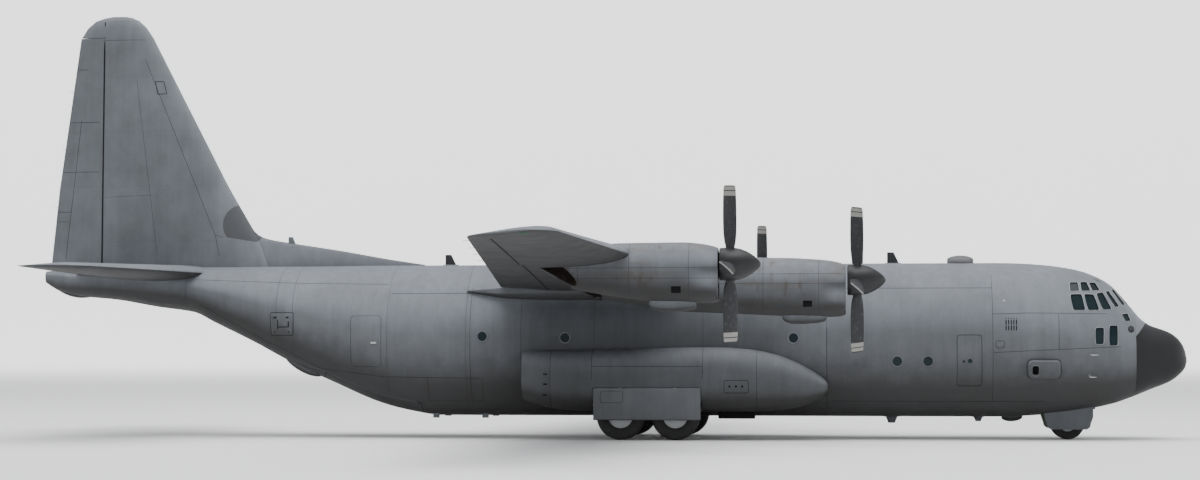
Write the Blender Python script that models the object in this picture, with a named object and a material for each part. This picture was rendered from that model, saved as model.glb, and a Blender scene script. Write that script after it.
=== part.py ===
"""A stretched military transport plane, parked on its gear, as a 1:2 scale model.

Every size below is the real aircraft's, in metres. The empty half_scale halves the whole.
+X is the nose, +Y the left (port) side, +Z up. The ground is z = 0 and x = 0 is mid-length.
"""

import bpy
import bmesh
from math import cos, pi, radians, sin, sqrt
from mathutils import Matrix, Vector

SCALE = 0.5
SEAT = 0.0008
RUNNING_GAP = 0.014
PIN_GAP = 0.0018
PIN_SIDES = 16

# fuselage: x, crown z, keel z, half width, z of the widest place
HULL = [
    (-17.465, 5.12, 4.78, 0.15, 4.98),
    (-16.40, 5.20, 4.33, 0.62, 4.88),
    (-14.50, 5.22, 4.07, 1.12, 4.75),
    (-12.54, 5.22, 3.79, 1.60, 4.55),
    (-10.00, 5.22, 2.50, 1.95, 3.95),
    (-8.10, 5.23, 1.62, 2.09, 3.50),
    (-6.22, 5.24, 0.89, 2.16, 3.15),
    (-4.98, 5.25, 0.66, 2.17, 3.08),
    (12.60, 5.25, 0.66, 2.17, 3.08),
    (13.79, 5.12, 0.79, 2.10, 2.95),
    (14.60, 4.93, 0.90, 1.93, 2.80),
    (15.26, 4.58, 1.04, 1.72, 2.65),
    (15.86, 3.92, 1.25, 1.42, 2.52),
    (16.42, 3.37, 1.47, 1.10, 2.43),
    (16.90, 3.20, 1.68, 0.82, 2.40),
    (17.20, 3.02, 1.87, 0.58, 2.38),
    (17.40, 2.68, 2.10, 0.27, 2.36),
    (17.465, 2.45, 2.27, 0.08, 2.35),
]
NOSE_TIP_X = 17.465
TAIL_TIP_X = -17.465
HULL_POINTS = 24
HULL_LOW_POWER = 2.7
SKIN = 0.14
NOSE_SKIN = 0.23
TAIL_SKIN = 0.06
TAIL_SOLID_X = -16.40
RADOME_X = 15.86
FORWARD_BREAK_X = 6.87
AFT_BREAK_X = -6.22
TAIL_BREAK_X = -12.54
FLOOR_Z = 1.04
FLOOR_THICK = 0.24
FLOOR_EDGE = 0.003
FLOOR_FRONT_X = 12.2
DECK_EDGE = 0.0012

# wing stations: y, leading edge x, z, trailing edge x, z, thickness over chord
WING = [
    (0.00, 2.60, 4.90, -2.98, 4.52, 0.175),
    (2.20, 2.54, 4.90, -2.76, 4.52, 0.175),
    (10.90, 1.88, 5.14, -1.83, 4.85, 0.150),
    (19.60, 1.14, 5.30, -0.91, 5.18, 0.120),
    (20.205, 0.62, 5.30, -0.66, 5.20, 0.060),
]
WING_ROOT_Y = 2.20
# shares of the chord at which a wing section has its points, and the thickness above and below
SECTION_SHARES = (0.0, 0.012, 0.05, 0.13, 0.27, 0.45, 0.65, 0.84, 1.0)
WING_UPPER = 0.60
WING_LOWER = 0.40
TAIL_HALF = 0.50
# hollow of the outer wing: end of span, shares of the chord, thickness of its skin
WING_CORE_SPAN = (2.0, 10.9, 18.9)
WING_CORE_SHARES = (0.10, 0.35, 0.60)
WING_PLATE = 0.05
FLAP_SPAN = (2.35, 11.60)
AILERON_SPAN = (11.75, 19.30)
FLAP_HINGE = 0.74
AILERON_HINGE = 0.76
NOSE_ARC_STEPS = 6
SURFACE_PIN_RADIUS = 0.022
SURFACE_PIN_IN = 0.05
SURFACE_PIN_OUT = 0.08
TRAILING_EDGE = 0.012

# tailplane stations: y, leading edge x, z, trailing edge x, z, thickness over chord
TAILPLANE = [
    (0.00, -11.85, 5.00, -16.36, 5.00, 0.120),
    (7.60, -13.62, 5.00, -15.62, 5.00, 0.100),
    (8.03, -13.98, 5.00, -15.52, 5.00, 0.050),
]
ELEVATOR_SPAN = (1.15, 7.50)
ELEVATOR_HINGE_X = -14.90
ELEVATOR_CORE_SPAN = 5.2
# hollow of the tailplane and the fin: shares of the chord, thickness of the skin
TAIL_CORE_SPAN = 6.9
TAIL_CORE_SHARES = (0.08, 0.35, 0.62)
TAIL_PLATE = 0.045
# hollow of the elevators and the rudder: shares of the way from the hinge to the trailing edge
CORE_WEDGE = (0.10, 0.55)
WEDGE_PLATE = 0.035

# fin stations: z, leading edge x, trailing edge x, half thickness
FIN = [
    (5.00, -10.05, -17.34, 0.42),
    (7.68, -11.64, -17.07, 0.34),
    (12.40, -14.10, -16.42, 0.20),
    (12.94, -14.55, -15.90, 0.14),
    (13.08, -14.95, -15.45, 0.07),
]
RUDDER_HINGE_X = -15.65
RUDDER_SPAN = (5.42, 12.40)
RUDDER_PIN_RADIUS = 0.035
RUDDER_PIN_FOOT_Z = 5.15
FIN_SHARES = (0.0, 0.02, 0.08, 0.20, 0.40, 0.70, 1.0)
FIN_CORE_Z = (4.9, 7.68, 12.2)
FIN_CORE_SHARES = (0.09, 0.29, 0.56, 0.83)
RUDDER_CORE_TOP_Z = 11.9
RUDDER_ROOM_TAIL = 0.6
# dorsal fin: x, foot z, top z, half width
DORSAL = [
    (-5.45, 5.05, 5.27, 0.03),
    (-8.00, 5.05, 5.69, 0.14),
    (-10.66, 5.05, 6.15, 0.20),
    (-11.35, 5.05, 7.02, 0.22),
    (-12.60, 5.05, 7.10, 0.22),
]
DORSAL_EDGE = 0.02

# engines: name, y, hub z, propeller plane x, rows of the nacelle, clocking of the blades
NACELLE_POINTS = 16
# nacelle rows: x behind the propeller plane, crown, keel (from the hub), half width
OUTER_NACELLE = [
    (0.30, 0.40, -1.07, 0.50),
    (0.78, 0.50, -1.17, 0.60),
    (1.24, 0.54, -1.22, 0.64),
    (2.10, 0.57, -1.11, 0.66),
    (2.90, 0.57, -0.90, 0.66),
    (4.10, 0.40, -0.64, 0.58),
    (5.20, 0.00, -0.56, 0.42),
]
INNER_NACELLE = [
    (0.32, 0.40, -1.07, 0.50),
    (0.95, 0.57, -1.10, 0.60),
    (2.05, 0.63, -1.19, 0.65),
    (3.30, 0.64, -0.96, 0.67),
    (5.25, 0.64, -0.86, 0.67),
    (6.00, 0.64, -0.70, 0.66),
    (7.40, 0.40, -0.48, 0.58),
    (8.40, 0.02, -0.34, 0.42),
]
ENGINES = [
    ("left_outer", 10.24, 4.88, 4.485, OUTER_NACELLE, 5.0),
    ("left_inner", 4.98, 4.61, 7.765, INNER_NACELLE, 9.0),
    ("right_inner", -4.98, 4.61, 7.765, INNER_NACELLE, 9.0),
    ("right_outer", -10.24, 4.88, 4.485, OUTER_NACELLE, 5.0),
]
INTAKE_DROP = 0.72
INTAKE_HALF = (0.36, 0.26)
INTAKE_DEPTH = 1.50
SHAFT_RADIUS = 0.10
ENGINE_BLOCK = (0.72, 2.26, 0.38, 0.36)

# propeller: turned spinner profile (x ahead of the propeller plane, radius)
SPINNER = [(-0.27, 0.0), (-0.27, 0.42), (0.02, 0.435), (0.34, 0.36), (0.62, 0.22), (0.77, 0.09), (0.80, 0.0)]
PROP_RADIUS = 2.055
# blade stations: radius, chord, thickness, pitch in degrees
BLADE = [
    (0.30, 0.24, 0.150, 60.0),
    (0.62, 0.38, 0.090, 57.0),
    (1.20, 0.47, 0.055, 52.0),
    (1.85, 0.46, 0.034, 48.0),
    (PROP_RADIUS, 0.38, 0.022, 47.0),
]

# blade section: shares of the chord and of the thickness
BLADE_SECTION = [(0.5, 0.0), (0.28, 0.5), (-0.12, 0.5), (-0.5, 0.0), (-0.12, -0.3), (0.28, -0.3)]

# sponson rows: x, top z, bottom z, outer y
SPONSON = [
    (-2.10, 2.62, 1.22, 2.50),
    (-1.60, 2.64, 0.92, 2.68),
    (-0.60, 2.66, 0.82, 2.75),
    (3.60, 2.78, 0.82, 2.75),
    (5.50, 2.53, 0.90, 2.66),
    (6.40, 2.25, 1.15, 2.42),
    (6.90, 1.88, 1.62, 2.12),
]
SPONSON_POINTS = 16
SPONSON_CENTRE_Y = 1.55

WHEEL_SIDES = 24
MAIN_WHEEL_X = (0.82, 2.44)
MAIN_WHEEL_Y = 2.175
MAIN_RADIUS = 0.71
MAIN_WIDTH = 0.50
BAY_X = (0.02, 3.24)
BAY_Y = (1.50, 2.60)
BAY_TOP = 1.90
MAIN_DOOR = (0.055, 3.205, 0.59, 1.53)
DOOR_THICK = 0.06
DOOR_OUTER_Y = 2.745
DOOR_PIN_RADIUS = 0.016
LEG_Y = 2.515
LEG_RADIUS = 0.06
AXLE_RADIUS = 0.06
NOSE_AXLE_RADIUS = 0.05

NOSE_WHEEL_X = 13.95
NOSE_RADIUS = 0.49
NOSE_WIDTH = 0.32
NOSE_TRACK = 0.56
NOSE_BAY_X = (13.18, 14.72)
NOSE_BAY_Y = 0.76
NOSE_BAY_TOP = 1.95

RAMP_X = (-5.30, -8.40)
RAMP_HALF_WIDTH = 1.48
RAMP_FLOOR_RISE = 0.98
CARGO_DOOR_AFT_X = -12.42
CARGO_DOOR_HALF_WIDTH = 1.45
CARGO_DOOR_AFT_HALF_WIDTH = 1.0
CARGO_DOOR_THICK = 0.16
RAMP_SLANT_GAP = 0.024
HINGE_RISE = 0.075
HINGE_RADIUS = 0.045
HINGE_HALF_SPAN = 0.5
CREW_DOOR = (11.80, 12.56, 1.12, 2.62)
CREW_HINGE_OUT = 0.006
CREW_HINGE_DROP = 0.02
CREW_HINGE_RADIUS = 0.03
PARATROOP_DOOR = (-7.32, -6.40, 2.16, 3.66)
EMERGENCY_DOOR = (10.65, 11.36, 1.60, 3.08)
CROWN_CUT_X = (-3.90, 3.10)
CROWN_CUT_Z = 4.42
# fillet rows beside the cabin: x, lower edge z, top z, outer y
FILLET = [
    (-3.85, 4.36, 4.42, 1.80),
    (-2.60, 4.18, 4.50, 2.10),
    (0.00, 4.13, 4.70, 2.19),
    (2.30, 4.20, 4.80, 2.15),
    (3.05, 4.40, 4.60, 1.75),
]
PANE_REACH = 0.32
# cockpit panes: corners as (x, z) on the skin, and the way out of the skin
COCKPIT_PANES = [
    {"corners": ((13.93, 4.62), (14.76, 4.61), (14.88, 4.38), (13.93, 4.35)), "out": (0.2, 0.55, 0.8)},
    {"corners": ((13.93, 4.27), (14.31, 4.27), (14.41, 3.79), (14.00, 3.79)), "out": (0.2, 0.9, 0.4)},
    {"corners": ((14.36, 4.27), (14.67, 4.27), (14.82, 3.80), (14.46, 3.79)), "out": (0.25, 0.9, 0.4)},
    {"corners": ((14.72, 4.30), (14.95, 4.32), (15.19, 3.83), (14.88, 3.80)), "out": (0.4, 0.8, 0.45)},
    {"corners": ((15.01, 4.36), (15.14, 4.38), (15.44, 3.94), (15.26, 3.88)), "out": (0.6, 0.5, 0.5)},
    {"corners": ((14.63, 3.30), (14.90, 3.30), (14.88, 2.80), (14.63, 2.80)), "out": (0.15, 1.0, 0.0)},
    {"corners": ((15.04, 3.36), (15.31, 3.36), (15.30, 2.76), (15.03, 2.76)), "out": (0.25, 1.0, 0.0)},
]
# front panes: half widths at the inner and outer edge, height
FRONT_PANES = [(0.03, 0.44), (0.50, 0.92)]
FRONT_PANE_Z = (3.98, 4.42)
COCKPIT_FLOOR_Z = 2.95
GLASS_THICK = 0.04
# sizes inside the cockpit: low and high corners of each block, for the left side
SEAT_BLOCK = ((13.55, 0.50, 2.90), (14.05, 1.00, 3.40))
SEAT_BACK_BLOCK = ((13.40, 0.51, 3.10), (13.62, 0.99, 4.05))
PANEL_BLOCK = ((14.62, -1.05, 2.90), (14.85, 1.05, 3.66))
PEDESTAL_BLOCK = ((13.90, -0.22, 2.90), (14.70, 0.22, 3.45))

COLOURS = {
    "body_grey": ((0.22, 0.23, 0.235), 0.62, 0.0),
    "radome_grey": ((0.07, 0.072, 0.075), 0.55, 0.0),
    "blade_grey": ((0.06, 0.06, 0.063), 0.5, 0.0),
    "dark_glass": ((0.015, 0.03, 0.035), 0.06, 0.0),
    "bare_steel": ((0.35, 0.35, 0.36), 0.35, 1.0),
    "engine_metal": ((0.16, 0.15, 0.15), 0.5, 1.0),
    "tyre_rubber": ((0.02, 0.02, 0.02), 0.85, 0.0),
    "inner_green": ((0.13, 0.16, 0.12), 0.7, 0.0),
}


def clear_scene():
    for item in list(bpy.data.objects):
        bpy.data.objects.remove(item, do_unlink=True)


def new_collection(name, show=True):
    group = bpy.data.collections.new(name)
    bpy.context.scene.collection.children.link(group)
    group.hide_render = not show
    return group


def make_material(name):
    colour, roughness, metallic = COLOURS[name]
    material = bpy.data.materials.new(name)
    material.use_nodes = True
    shader = material.node_tree.nodes["Principled BSDF"]
    shader.inputs["Base Color"].default_value = (*colour, 1.0)
    shader.inputs["Roughness"].default_value = roughness
    shader.inputs["Metallic"].default_value = metallic
    return material


clear_scene()
PLANE = new_collection("military_transport_plane")
CUTTERS = new_collection("cutters", show=False)
HALF_SCALE = bpy.data.objects.new("half_scale", None)
HALF_SCALE.scale = (SCALE, SCALE, SCALE)
PLANE.objects.link(HALF_SCALE)
MATERIALS = {name: make_material(name) for name in COLOURS}


def add_object(name, mesh, material=None, at=(0, 0, 0)):
    """Put a mesh in the scene under half_scale; with no material it is a cutter."""
    item = bpy.data.objects.new(name, mesh)
    item.location = at
    item.parent = HALF_SCALE
    if material is None:
        CUTTERS.objects.link(item)
        item.hide_render = True
        item.display_type = "WIRE"
    else:
        PLANE.objects.link(item)
        mesh.materials.append(MATERIALS[material])
        mesh.shade_smooth()
        mesh.set_sharp_from_angle(angle=radians(32))
    return item


def finish_mesh(name, work):
    """Turn a bmesh into a mesh with its faces pointing out."""
    bmesh.ops.recalc_face_normals(work, faces=work.faces)
    mesh = bpy.data.meshes.new(name)
    work.to_mesh(mesh)
    work.free()
    return mesh


def loft_mesh(name, rings, closed=False):
    """Join rings of equally many points; the ends are capped, or joined when closed."""
    work = bmesh.new()
    rows = [[work.verts.new(point) for point in ring] for ring in rings]
    pairs = list(zip(rows, rows[1:]))
    if closed:
        pairs.append((rows[-1], rows[0]))
    for near, far in pairs:
        count = len(near)
        for k in range(count):
            after = (k + 1) % count
            work.faces.new((near[k], near[after], far[after]))
            work.faces.new((near[k], far[after], far[k]))
    if not closed:
        work.faces.new(rows[0][::-1])
        work.faces.new(rows[-1])
    return finish_mesh(name, work)


def box_mesh(name, low, high):
    work = bmesh.new()
    bmesh.ops.create_cube(work, size=1.0)
    size = [b - a for a, b in zip(low, high)]
    middle = [(a + b) / 2 for a, b in zip(low, high)]
    bmesh.ops.scale(work, vec=size, verts=work.verts)
    bmesh.ops.translate(work, vec=middle, verts=work.verts)
    return finish_mesh(name, work)


def rod_mesh(name, start, end, radius, segments=16, end_radius=None):
    """A cylinder or cone between two points, with one vertex at its lowest side."""
    start = Vector(start)
    end = Vector(end)
    along = end - start
    work = bmesh.new()
    bmesh.ops.create_cone(work, cap_ends=True, segments=segments, radius1=radius,
                          radius2=radius if end_radius is None else end_radius, depth=along.length)
    turn = along.to_track_quat("Z", "Y").to_matrix().to_4x4()
    bmesh.ops.transform(work, matrix=Matrix.Translation((start + end) / 2) @ turn, verts=work.verts)
    return finish_mesh(name, work)


def turned_mesh(name, profile, steps, axis="X"):
    """Turn a closed profile of (place along the axis, radius) about the X or Y axis."""
    rings = []
    for place, radius in profile[1:-1]:
        ring = []
        for k in range(steps):
            angle = 2 * pi * k / steps - pi / 2
            across = (radius * cos(angle), radius * sin(angle))
            ring.append((place, *across) if axis == "X" else (across[0], place, across[1]))
        rings.append(ring)
    return loft_mesh(name, rings)


def prism_mesh(name, outline, low_y, high_y):
    """Push an outline of (x, z) points from one y to another; the ys may be functions of x."""
    sides = []
    for side_y in (low_y, high_y):
        sides.append([(x, side_y(x) if callable(side_y) else side_y, z) for x, z in outline])
    return loft_mesh(name, sides)


def boolean(item, other, operation):
    step = item.modifiers.new(operation.lower() + "_" + other.name, "BOOLEAN")
    step.operation = operation
    step.solver = "EXACT"
    step.object = other
    return item


def cut(item, *cutters):
    for cutter in cutters:
        boolean(item, cutter, "DIFFERENCE")
    return item


def join(item, *others):
    for other in others:
        boolean(item, other, "UNION")
    return item


def pin_between(name, moving, carrier, start, end, radius):
    """A hinge pin fused to the moving piece, and its bore in the piece that carries it."""
    join(moving, add_object(name, rod_mesh(name, start, end, radius, PIN_SIDES)))
    spare = (Vector(end) - Vector(start)).normalized() * PIN_GAP
    bore = rod_mesh(name + "_bore", Vector(start) - spare, Vector(end) + spare, radius + PIN_GAP, PIN_SIDES)
    cut(carrier, add_object(name + "_bore", bore))


def cutter_box(name, low, high):
    return add_object(name, box_mesh(name, low, high))


def table_at(table, key, column):
    """Read a column of a table at a place between its rows."""
    rows = sorted(table)
    if key <= rows[0][0]:
        return rows[0][column]
    for low, high in zip(rows, rows[1:]):
        if key <= high[0]:
            share = (key - low[0]) / (high[0] - low[0])
            return low[column] + share * (high[column] - low[column])
    return rows[-1][column]


def hull_ring(x, inset=0.0):
    """The fuselage's section at x, drawn in by inset."""
    crown, keel, half, waist = (table_at(HULL, x, column) for column in range(1, 5))
    crown -= inset
    keel += inset
    half -= inset
    ring = []
    for k in range(HULL_POINTS):
        angle = 2 * pi * k / HULL_POINTS
        across = cos(angle)
        rise = sin(angle)
        if rise >= 0:
            ring.append((x, half * across, waist + (crown - waist) * rise))
        else:
            power = 2 / HULL_LOW_POWER
            side = abs(across) ** power * (1 if across > 0 else -1)
            ring.append((x, half * side, waist - (waist - keel) * abs(rise) ** power))
    return ring


def hull_stations(low_x, high_x):
    inside = [row[0] for row in HULL if low_x + 0.05 < row[0] < high_x - 0.05]
    return [low_x, *inside, high_x]


def hull_y(x, z):
    """Half width of the faceted fuselage at x and height z."""
    ring = hull_ring(x)
    for (_, near_y, near_z), (_, far_y, far_z) in zip(ring, ring[1:] + ring[:1]):
        low, high = sorted((near_z, far_z))
        if low <= z < high and near_y + far_y > 0:
            return near_y + (z - near_z) / (far_z - near_z) * (far_y - near_y)
    return 0.0


def tube_rings(low_x, high_x, skin):
    stations = hull_stations(low_x, high_x)
    outer = [hull_ring(x) for x in stations]
    inner = [hull_ring(x, skin) for x in reversed(stations)]
    return outer + inner


def solid_hull_cutter(name, low_x, high_x, grow=SEAT):
    stations = hull_stations(low_x, high_x)
    return add_object(name, loft_mesh(name, [hull_ring(x, -grow) for x in stations]))


def wing_row(table, span):
    return [table_at(table, span, column) for column in range(1, 6)]


def camber(share, upper, lower):
    """Half thickness of the section above and below the chord line, as parts of the thickness."""
    shape = 2.969 * sqrt(share) - 1.26 * share - 3.516 * share ** 2 + 2.843 * share ** 3
    shape = shape - 1.015 * share ** 4 + 0.02 * share
    return upper * shape, lower * shape


def section_points(row, upper, lower, grow=0.0):
    """A wing section as (x, z) points, from the trailing edge over the top and back below."""
    front_x, front_z, rear_x, rear_z, ratio = row
    front_x += grow
    rear_x -= grow
    chord = front_x - rear_x
    over = []
    under = []
    for share in SECTION_SHARES:
        x = front_x - share * chord
        line_z = front_z + share * (rear_z - front_z)
        up, down = camber(share, upper, lower)
        over.append((x, line_z + up * ratio * chord + (grow if share > 0 else 0)))
        under.append((x, line_z - down * ratio * chord - (grow if share > 0 else 0)))
    return over[::-1] + under[1:]


def wing_rings(table, spans, grow=0.0, upper=WING_UPPER, lower=WING_LOWER):
    rings = []
    for span in spans:
        points = section_points(wing_row(table, abs(span)), upper, lower, grow)
        rings.append([(x, span, z) for x, z in points])
    return rings


def hinge_point(table, span, share, upper, lower):
    """Hinge place and section half height there: x, z, radius."""
    front_x, front_z, rear_x, rear_z, ratio = wing_row(table, span)
    chord = front_x - rear_x
    up, down = camber(share, upper, lower)
    middle = (up - down) / 2 * ratio * chord
    radius = (up + down) / 2 * ratio * chord
    return front_x - share * chord, front_z + share * (rear_z - front_z) + middle, radius


def flap_ring(table, span, share, upper, lower):
    """A flap's section: a round nose about the hinge, then a wedge to the trailing edge."""
    x, z, radius = hinge_point(table, span, share, upper, lower)
    row = wing_row(table, span)
    ring = [(row[2], row[3] + TRAILING_EDGE)]
    for k in range(NOSE_ARC_STEPS + 1):
        angle = pi / 2 + pi * k / NOSE_ARC_STEPS
        ring.append((x - radius * cos(angle), z + radius * sin(angle)))
    ring.append((row[2], row[3] - TRAILING_EDGE))
    return ring


def cove_ring(table, span, share, upper, lower, gap):
    """The room that a flap needs: an arc about the hinge and a box behind it."""
    x, z, radius = hinge_point(table, span, share, upper, lower)
    row = wing_row(table, span)
    reach = radius + gap
    ring = [(row[2] - 0.3, z + reach)]
    for k in range(NOSE_ARC_STEPS + 1):
        angle = pi / 2 + pi * k / NOSE_ARC_STEPS
        ring.append((x - reach * cos(angle), z + reach * sin(angle)))
    ring.append((row[2] - 0.3, z - reach))
    return ring


def side_name(sign):
    return "left" if sign > 0 else "right"


def flap_cutter(name, table, sign, spans, share, upper, lower, gap):
    low, high = spans
    rings = []
    for span, push in ((low, -gap), (high, gap)):
        ring = cove_ring(table, span, share, upper, lower, gap)
        rings.append([(x, sign * (span + push), z) for x, z in ring])
    return add_object(name, loft_mesh(name, rings))


def build_flap(name, table, sign, spans, share, upper, lower):
    """A flap or aileron whose origin lies on its hinge at the inner end."""
    start = Vector((*hinge_point(table, spans[0], share, upper, lower)[:2], 0))
    at = (start.x, sign * spans[0], start.y)
    rings = []
    for span in spans:
        ring = flap_ring(table, span, share, upper, lower)
        rings.append([(x - at[0], sign * span - at[1], z - at[2]) for x, z in ring])
    return add_object(name, loft_mesh(name, rings), "body_grey", at)


def wing_stations():
    return [WING_ROOT_Y + SEAT, *[row[0] for row in WING if row[0] > WING_ROOT_Y + 0.1]]


def core_rings(table, spans, shares, plate, upper, lower):
    """The hollow between a wing's skins, at the given shares of its chord."""
    rings = []
    for span in spans:
        front_x, front_z, rear_x, rear_z, ratio = wing_row(table, abs(span))
        chord = front_x - rear_x
        over = []
        under = []
        for share in shares:
            up, down = camber(share, upper, lower)
            x = front_x - share * chord
            line_z = front_z + share * (rear_z - front_z)
            over.append((x, span, line_z + up * ratio * chord - plate))
            under.append((x, span, line_z - down * ratio * chord + plate))
        rings.append(over + under[::-1])
    return rings


def wing_core(sign):
    """The hollow of an outer wing, open at its root."""
    name = f"{side_name(sign)}_wing_core"
    spans = [sign * span for span in WING_CORE_SPAN]
    rings = core_rings(WING, spans, WING_CORE_SHARES, WING_PLATE, WING_UPPER, WING_LOWER)
    return add_object(name, loft_mesh(name, rings))


def build_wings():
    """The centre section over the cabin, both outer wings, their flaps and ailerons."""
    root = WING_ROOT_Y
    spans = [-root, root]
    centre = add_object("centre_wing", loft_mesh("centre_wing", wing_rings(WING, spans)), "body_grey")
    saddle = cutter_box("saddle_top", (CROWN_CUT_X[0], -3, CROWN_CUT_Z), (CROWN_CUT_X[1], 3, 5.3))
    crown = solid_hull_cutter("crown_block", *CROWN_CUT_X, grow=0.0)
    boolean(crown, saddle, "INTERSECT")
    join(centre, crown, *build_fillets())
    below = solid_hull_cutter("hull_under_wing", -4.5, 4.0)
    lower = cutter_box("below_crown", (-5, -3, 0), (5, 3, CROWN_CUT_Z))
    boolean(below, lower, "INTERSECT")
    cut(centre, below)
    for sign in (1, -1):
        side = side_name(sign)
        rings = wing_rings(WING, [sign * span for span in wing_stations()])
        wing = add_object(f"{side}_wing", loft_mesh(f"{side}_wing", rings), "body_grey")
        cut(wing, flap_cutter(f"{side}_flap_room", WING, sign, FLAP_SPAN, FLAP_HINGE,
                              WING_UPPER, WING_LOWER, SEAT))
        cut(wing, flap_cutter(f"{side}_aileron_room", WING, sign, AILERON_SPAN, AILERON_HINGE,
                              WING_UPPER, WING_LOWER, RUNNING_GAP))
        cut(wing, wing_core(sign))
        build_flap(f"{side}_flap", WING, sign, FLAP_SPAN, FLAP_HINGE, WING_UPPER, WING_LOWER)
        aileron = build_flap(f"{side}_aileron", WING, sign, AILERON_SPAN, AILERON_HINGE,
                             WING_UPPER, WING_LOWER)
        low, high = (Vector((x, sign * span, z)) for span in AILERON_SPAN
                     for x, z, radius in (hinge_point(WING, span, AILERON_HINGE, WING_UPPER, WING_LOWER),))
        along = (high - low).normalized()
        for end, place, way in (("inner", low, -1), ("outer", high, 1)):
            pin_between(f"{side}_aileron_{end}_pin", aileron, wing, place - way * SURFACE_PIN_IN * along,
                        place + way * SURFACE_PIN_OUT * along, SURFACE_PIN_RADIUS)


def build_fillets():
    """The fairing that fills the corner between the wing root and the cabin's side."""
    pieces = []
    for sign in (1, -1):
        rings = []
        for x, low, high, outer in FILLET:
            inner = 1.2
            middle = (low + high) / 2
            points = ((inner, low), (outer - 0.16, low), (outer, middle), (outer, high),
                      (inner, high + 0.02))
            rings.append([(x, sign * y, z) for y, z in points])
        name = f"{side_name(sign)}_fillet"
        pieces.append(add_object(name, loft_mesh(name, rings)))
    return pieces


def profile_cutter(name, outline, half_width):
    return add_object(name, prism_mesh(name, outline, -half_width, half_width))


def window_cutters():
    """Slanted blocks through the cockpit's skin, one for each pane on each side."""
    blocks = []
    for sign in (1, -1):
        for number, pane in enumerate(COCKPIT_PANES):
            corners = [Vector((x, sign * max(hull_y(x, z), 0.02), z)) for x, z in pane["corners"]]
            away = Vector(pane["out"]) * PANE_REACH
            away.y *= sign
            outer = [corner + away for corner in corners]
            inner = [corner - away * 1.3 for corner in corners]
            name = f"{side_name(sign)}_pane_{number}"
            blocks.append(add_object(name, loft_mesh(name, [outer, inner])))
    return blocks


def build_forward_fuselage():
    rings = tube_rings(FORWARD_BREAK_X + SEAT, RADOME_X - SEAT, NOSE_SKIN)
    body = add_object("forward_fuselage", loft_mesh("forward_fuselage", rings, closed=True), "body_grey")
    cut(body, *window_cutters())
    for sign in (1, -1):
        for inner, outer in FRONT_PANES:
            name = f"{side_name(sign)}_front_pane_{inner:.2f}"
            low, high = sorted((sign * inner, sign * outer))
            cut(body, cutter_box(name, (14.6, low, FRONT_PANE_Z[0]), (16.2, high, FRONT_PANE_Z[1])))
    cut(body, cutter_box("nose_bay_room", (NOSE_BAY_X[0], -NOSE_BAY_Y, 0.3),
                         (NOSE_BAY_X[1], NOSE_BAY_Y, 1.4)))
    crew = cut_side_door(body, "crew_door", CREW_DOOR, 1, NOSE_SKIN, RUNNING_GAP)
    low_x, high_x, low_z = CREW_DOOR[:3]
    hinge_y = hull_y(low_x, low_z) + CREW_HINGE_OUT
    hinge_z = low_z - CREW_HINGE_DROP
    pin_between("crew_door_hinge", crew, body, (low_x + 0.05, hinge_y, hinge_z),
                (high_x - 0.05, hinge_y, hinge_z), CREW_HINGE_RADIUS)
    cut_side_door(body, "emergency_door", EMERGENCY_DOOR, -1, NOSE_SKIN, SEAT)
    stations = hull_stations(RADOME_X, NOSE_TIP_X)
    add_object("radome", loft_mesh("radome", [hull_ring(x) for x in stations]), "radome_grey")


def door_block(name, sizes, sign, grow):
    low_x, high_x, low_z, high_z = sizes
    sides = sorted((sign * 1.2, sign * 3.0))
    return cutter_box(name, (low_x - grow, sides[0], low_z - grow), (high_x + grow, sides[1], high_z + grow))


def cut_side_door(body, name, sizes, sign, skin, gap):
    """Cut a doorway in the skin and build the door that fills it, hinged at its outer lower edge."""
    cut(body, door_block(name + "_way", sizes, sign, gap))
    low_x, high_x, low_z, high_z = sizes
    hinge_y = hull_y(low_x, low_z) + CREW_HINGE_OUT
    at = Vector(((low_x + high_x) / 2, sign * hinge_y, low_z - CREW_HINGE_DROP))
    rings = tube_rings(low_x - 0.3, high_x + 0.3, skin)
    moved = [[Vector(point) - at for point in ring] for ring in rings]
    door = add_object(name, loft_mesh(name, moved, closed=True), "body_grey", at)
    boolean(door, door_block(name + "_shape", sizes, sign, 0), "INTERSECT")
    return door


def build_centre_fuselage():
    rings = tube_rings(AFT_BREAK_X + SEAT, FORWARD_BREAK_X - SEAT, SKIN)
    body = add_object("centre_fuselage", loft_mesh("centre_fuselage", rings, closed=True), "body_grey")
    low_x, high_x = CROWN_CUT_X
    cut(body, cutter_box("crown_way", (low_x - SEAT, -3, CROWN_CUT_Z - SEAT), (high_x + SEAT, 3, 6)))
    cut(body, ramp_room())
    build_ramp(body)
    floor = FLOOR_Z - FLOOR_THICK
    slab = cutter_box("floor_room", (RAMP_X[0], -2, floor), (FLOOR_FRONT_X, 2, FLOOR_Z))
    name = "cargo_floor"
    inner = [hull_ring(x, SKIN + FLOOR_EDGE) for x in (RAMP_X[0] + RUNNING_GAP, -4.98)]
    inner += [hull_ring(x, NOSE_SKIN + FLOOR_EDGE) for x in (FORWARD_BREAK_X, FLOOR_FRONT_X)]
    deck = add_object(name, loft_mesh(name, inner), "inner_green")
    boolean(deck, slab, "INTERSECT")


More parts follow.
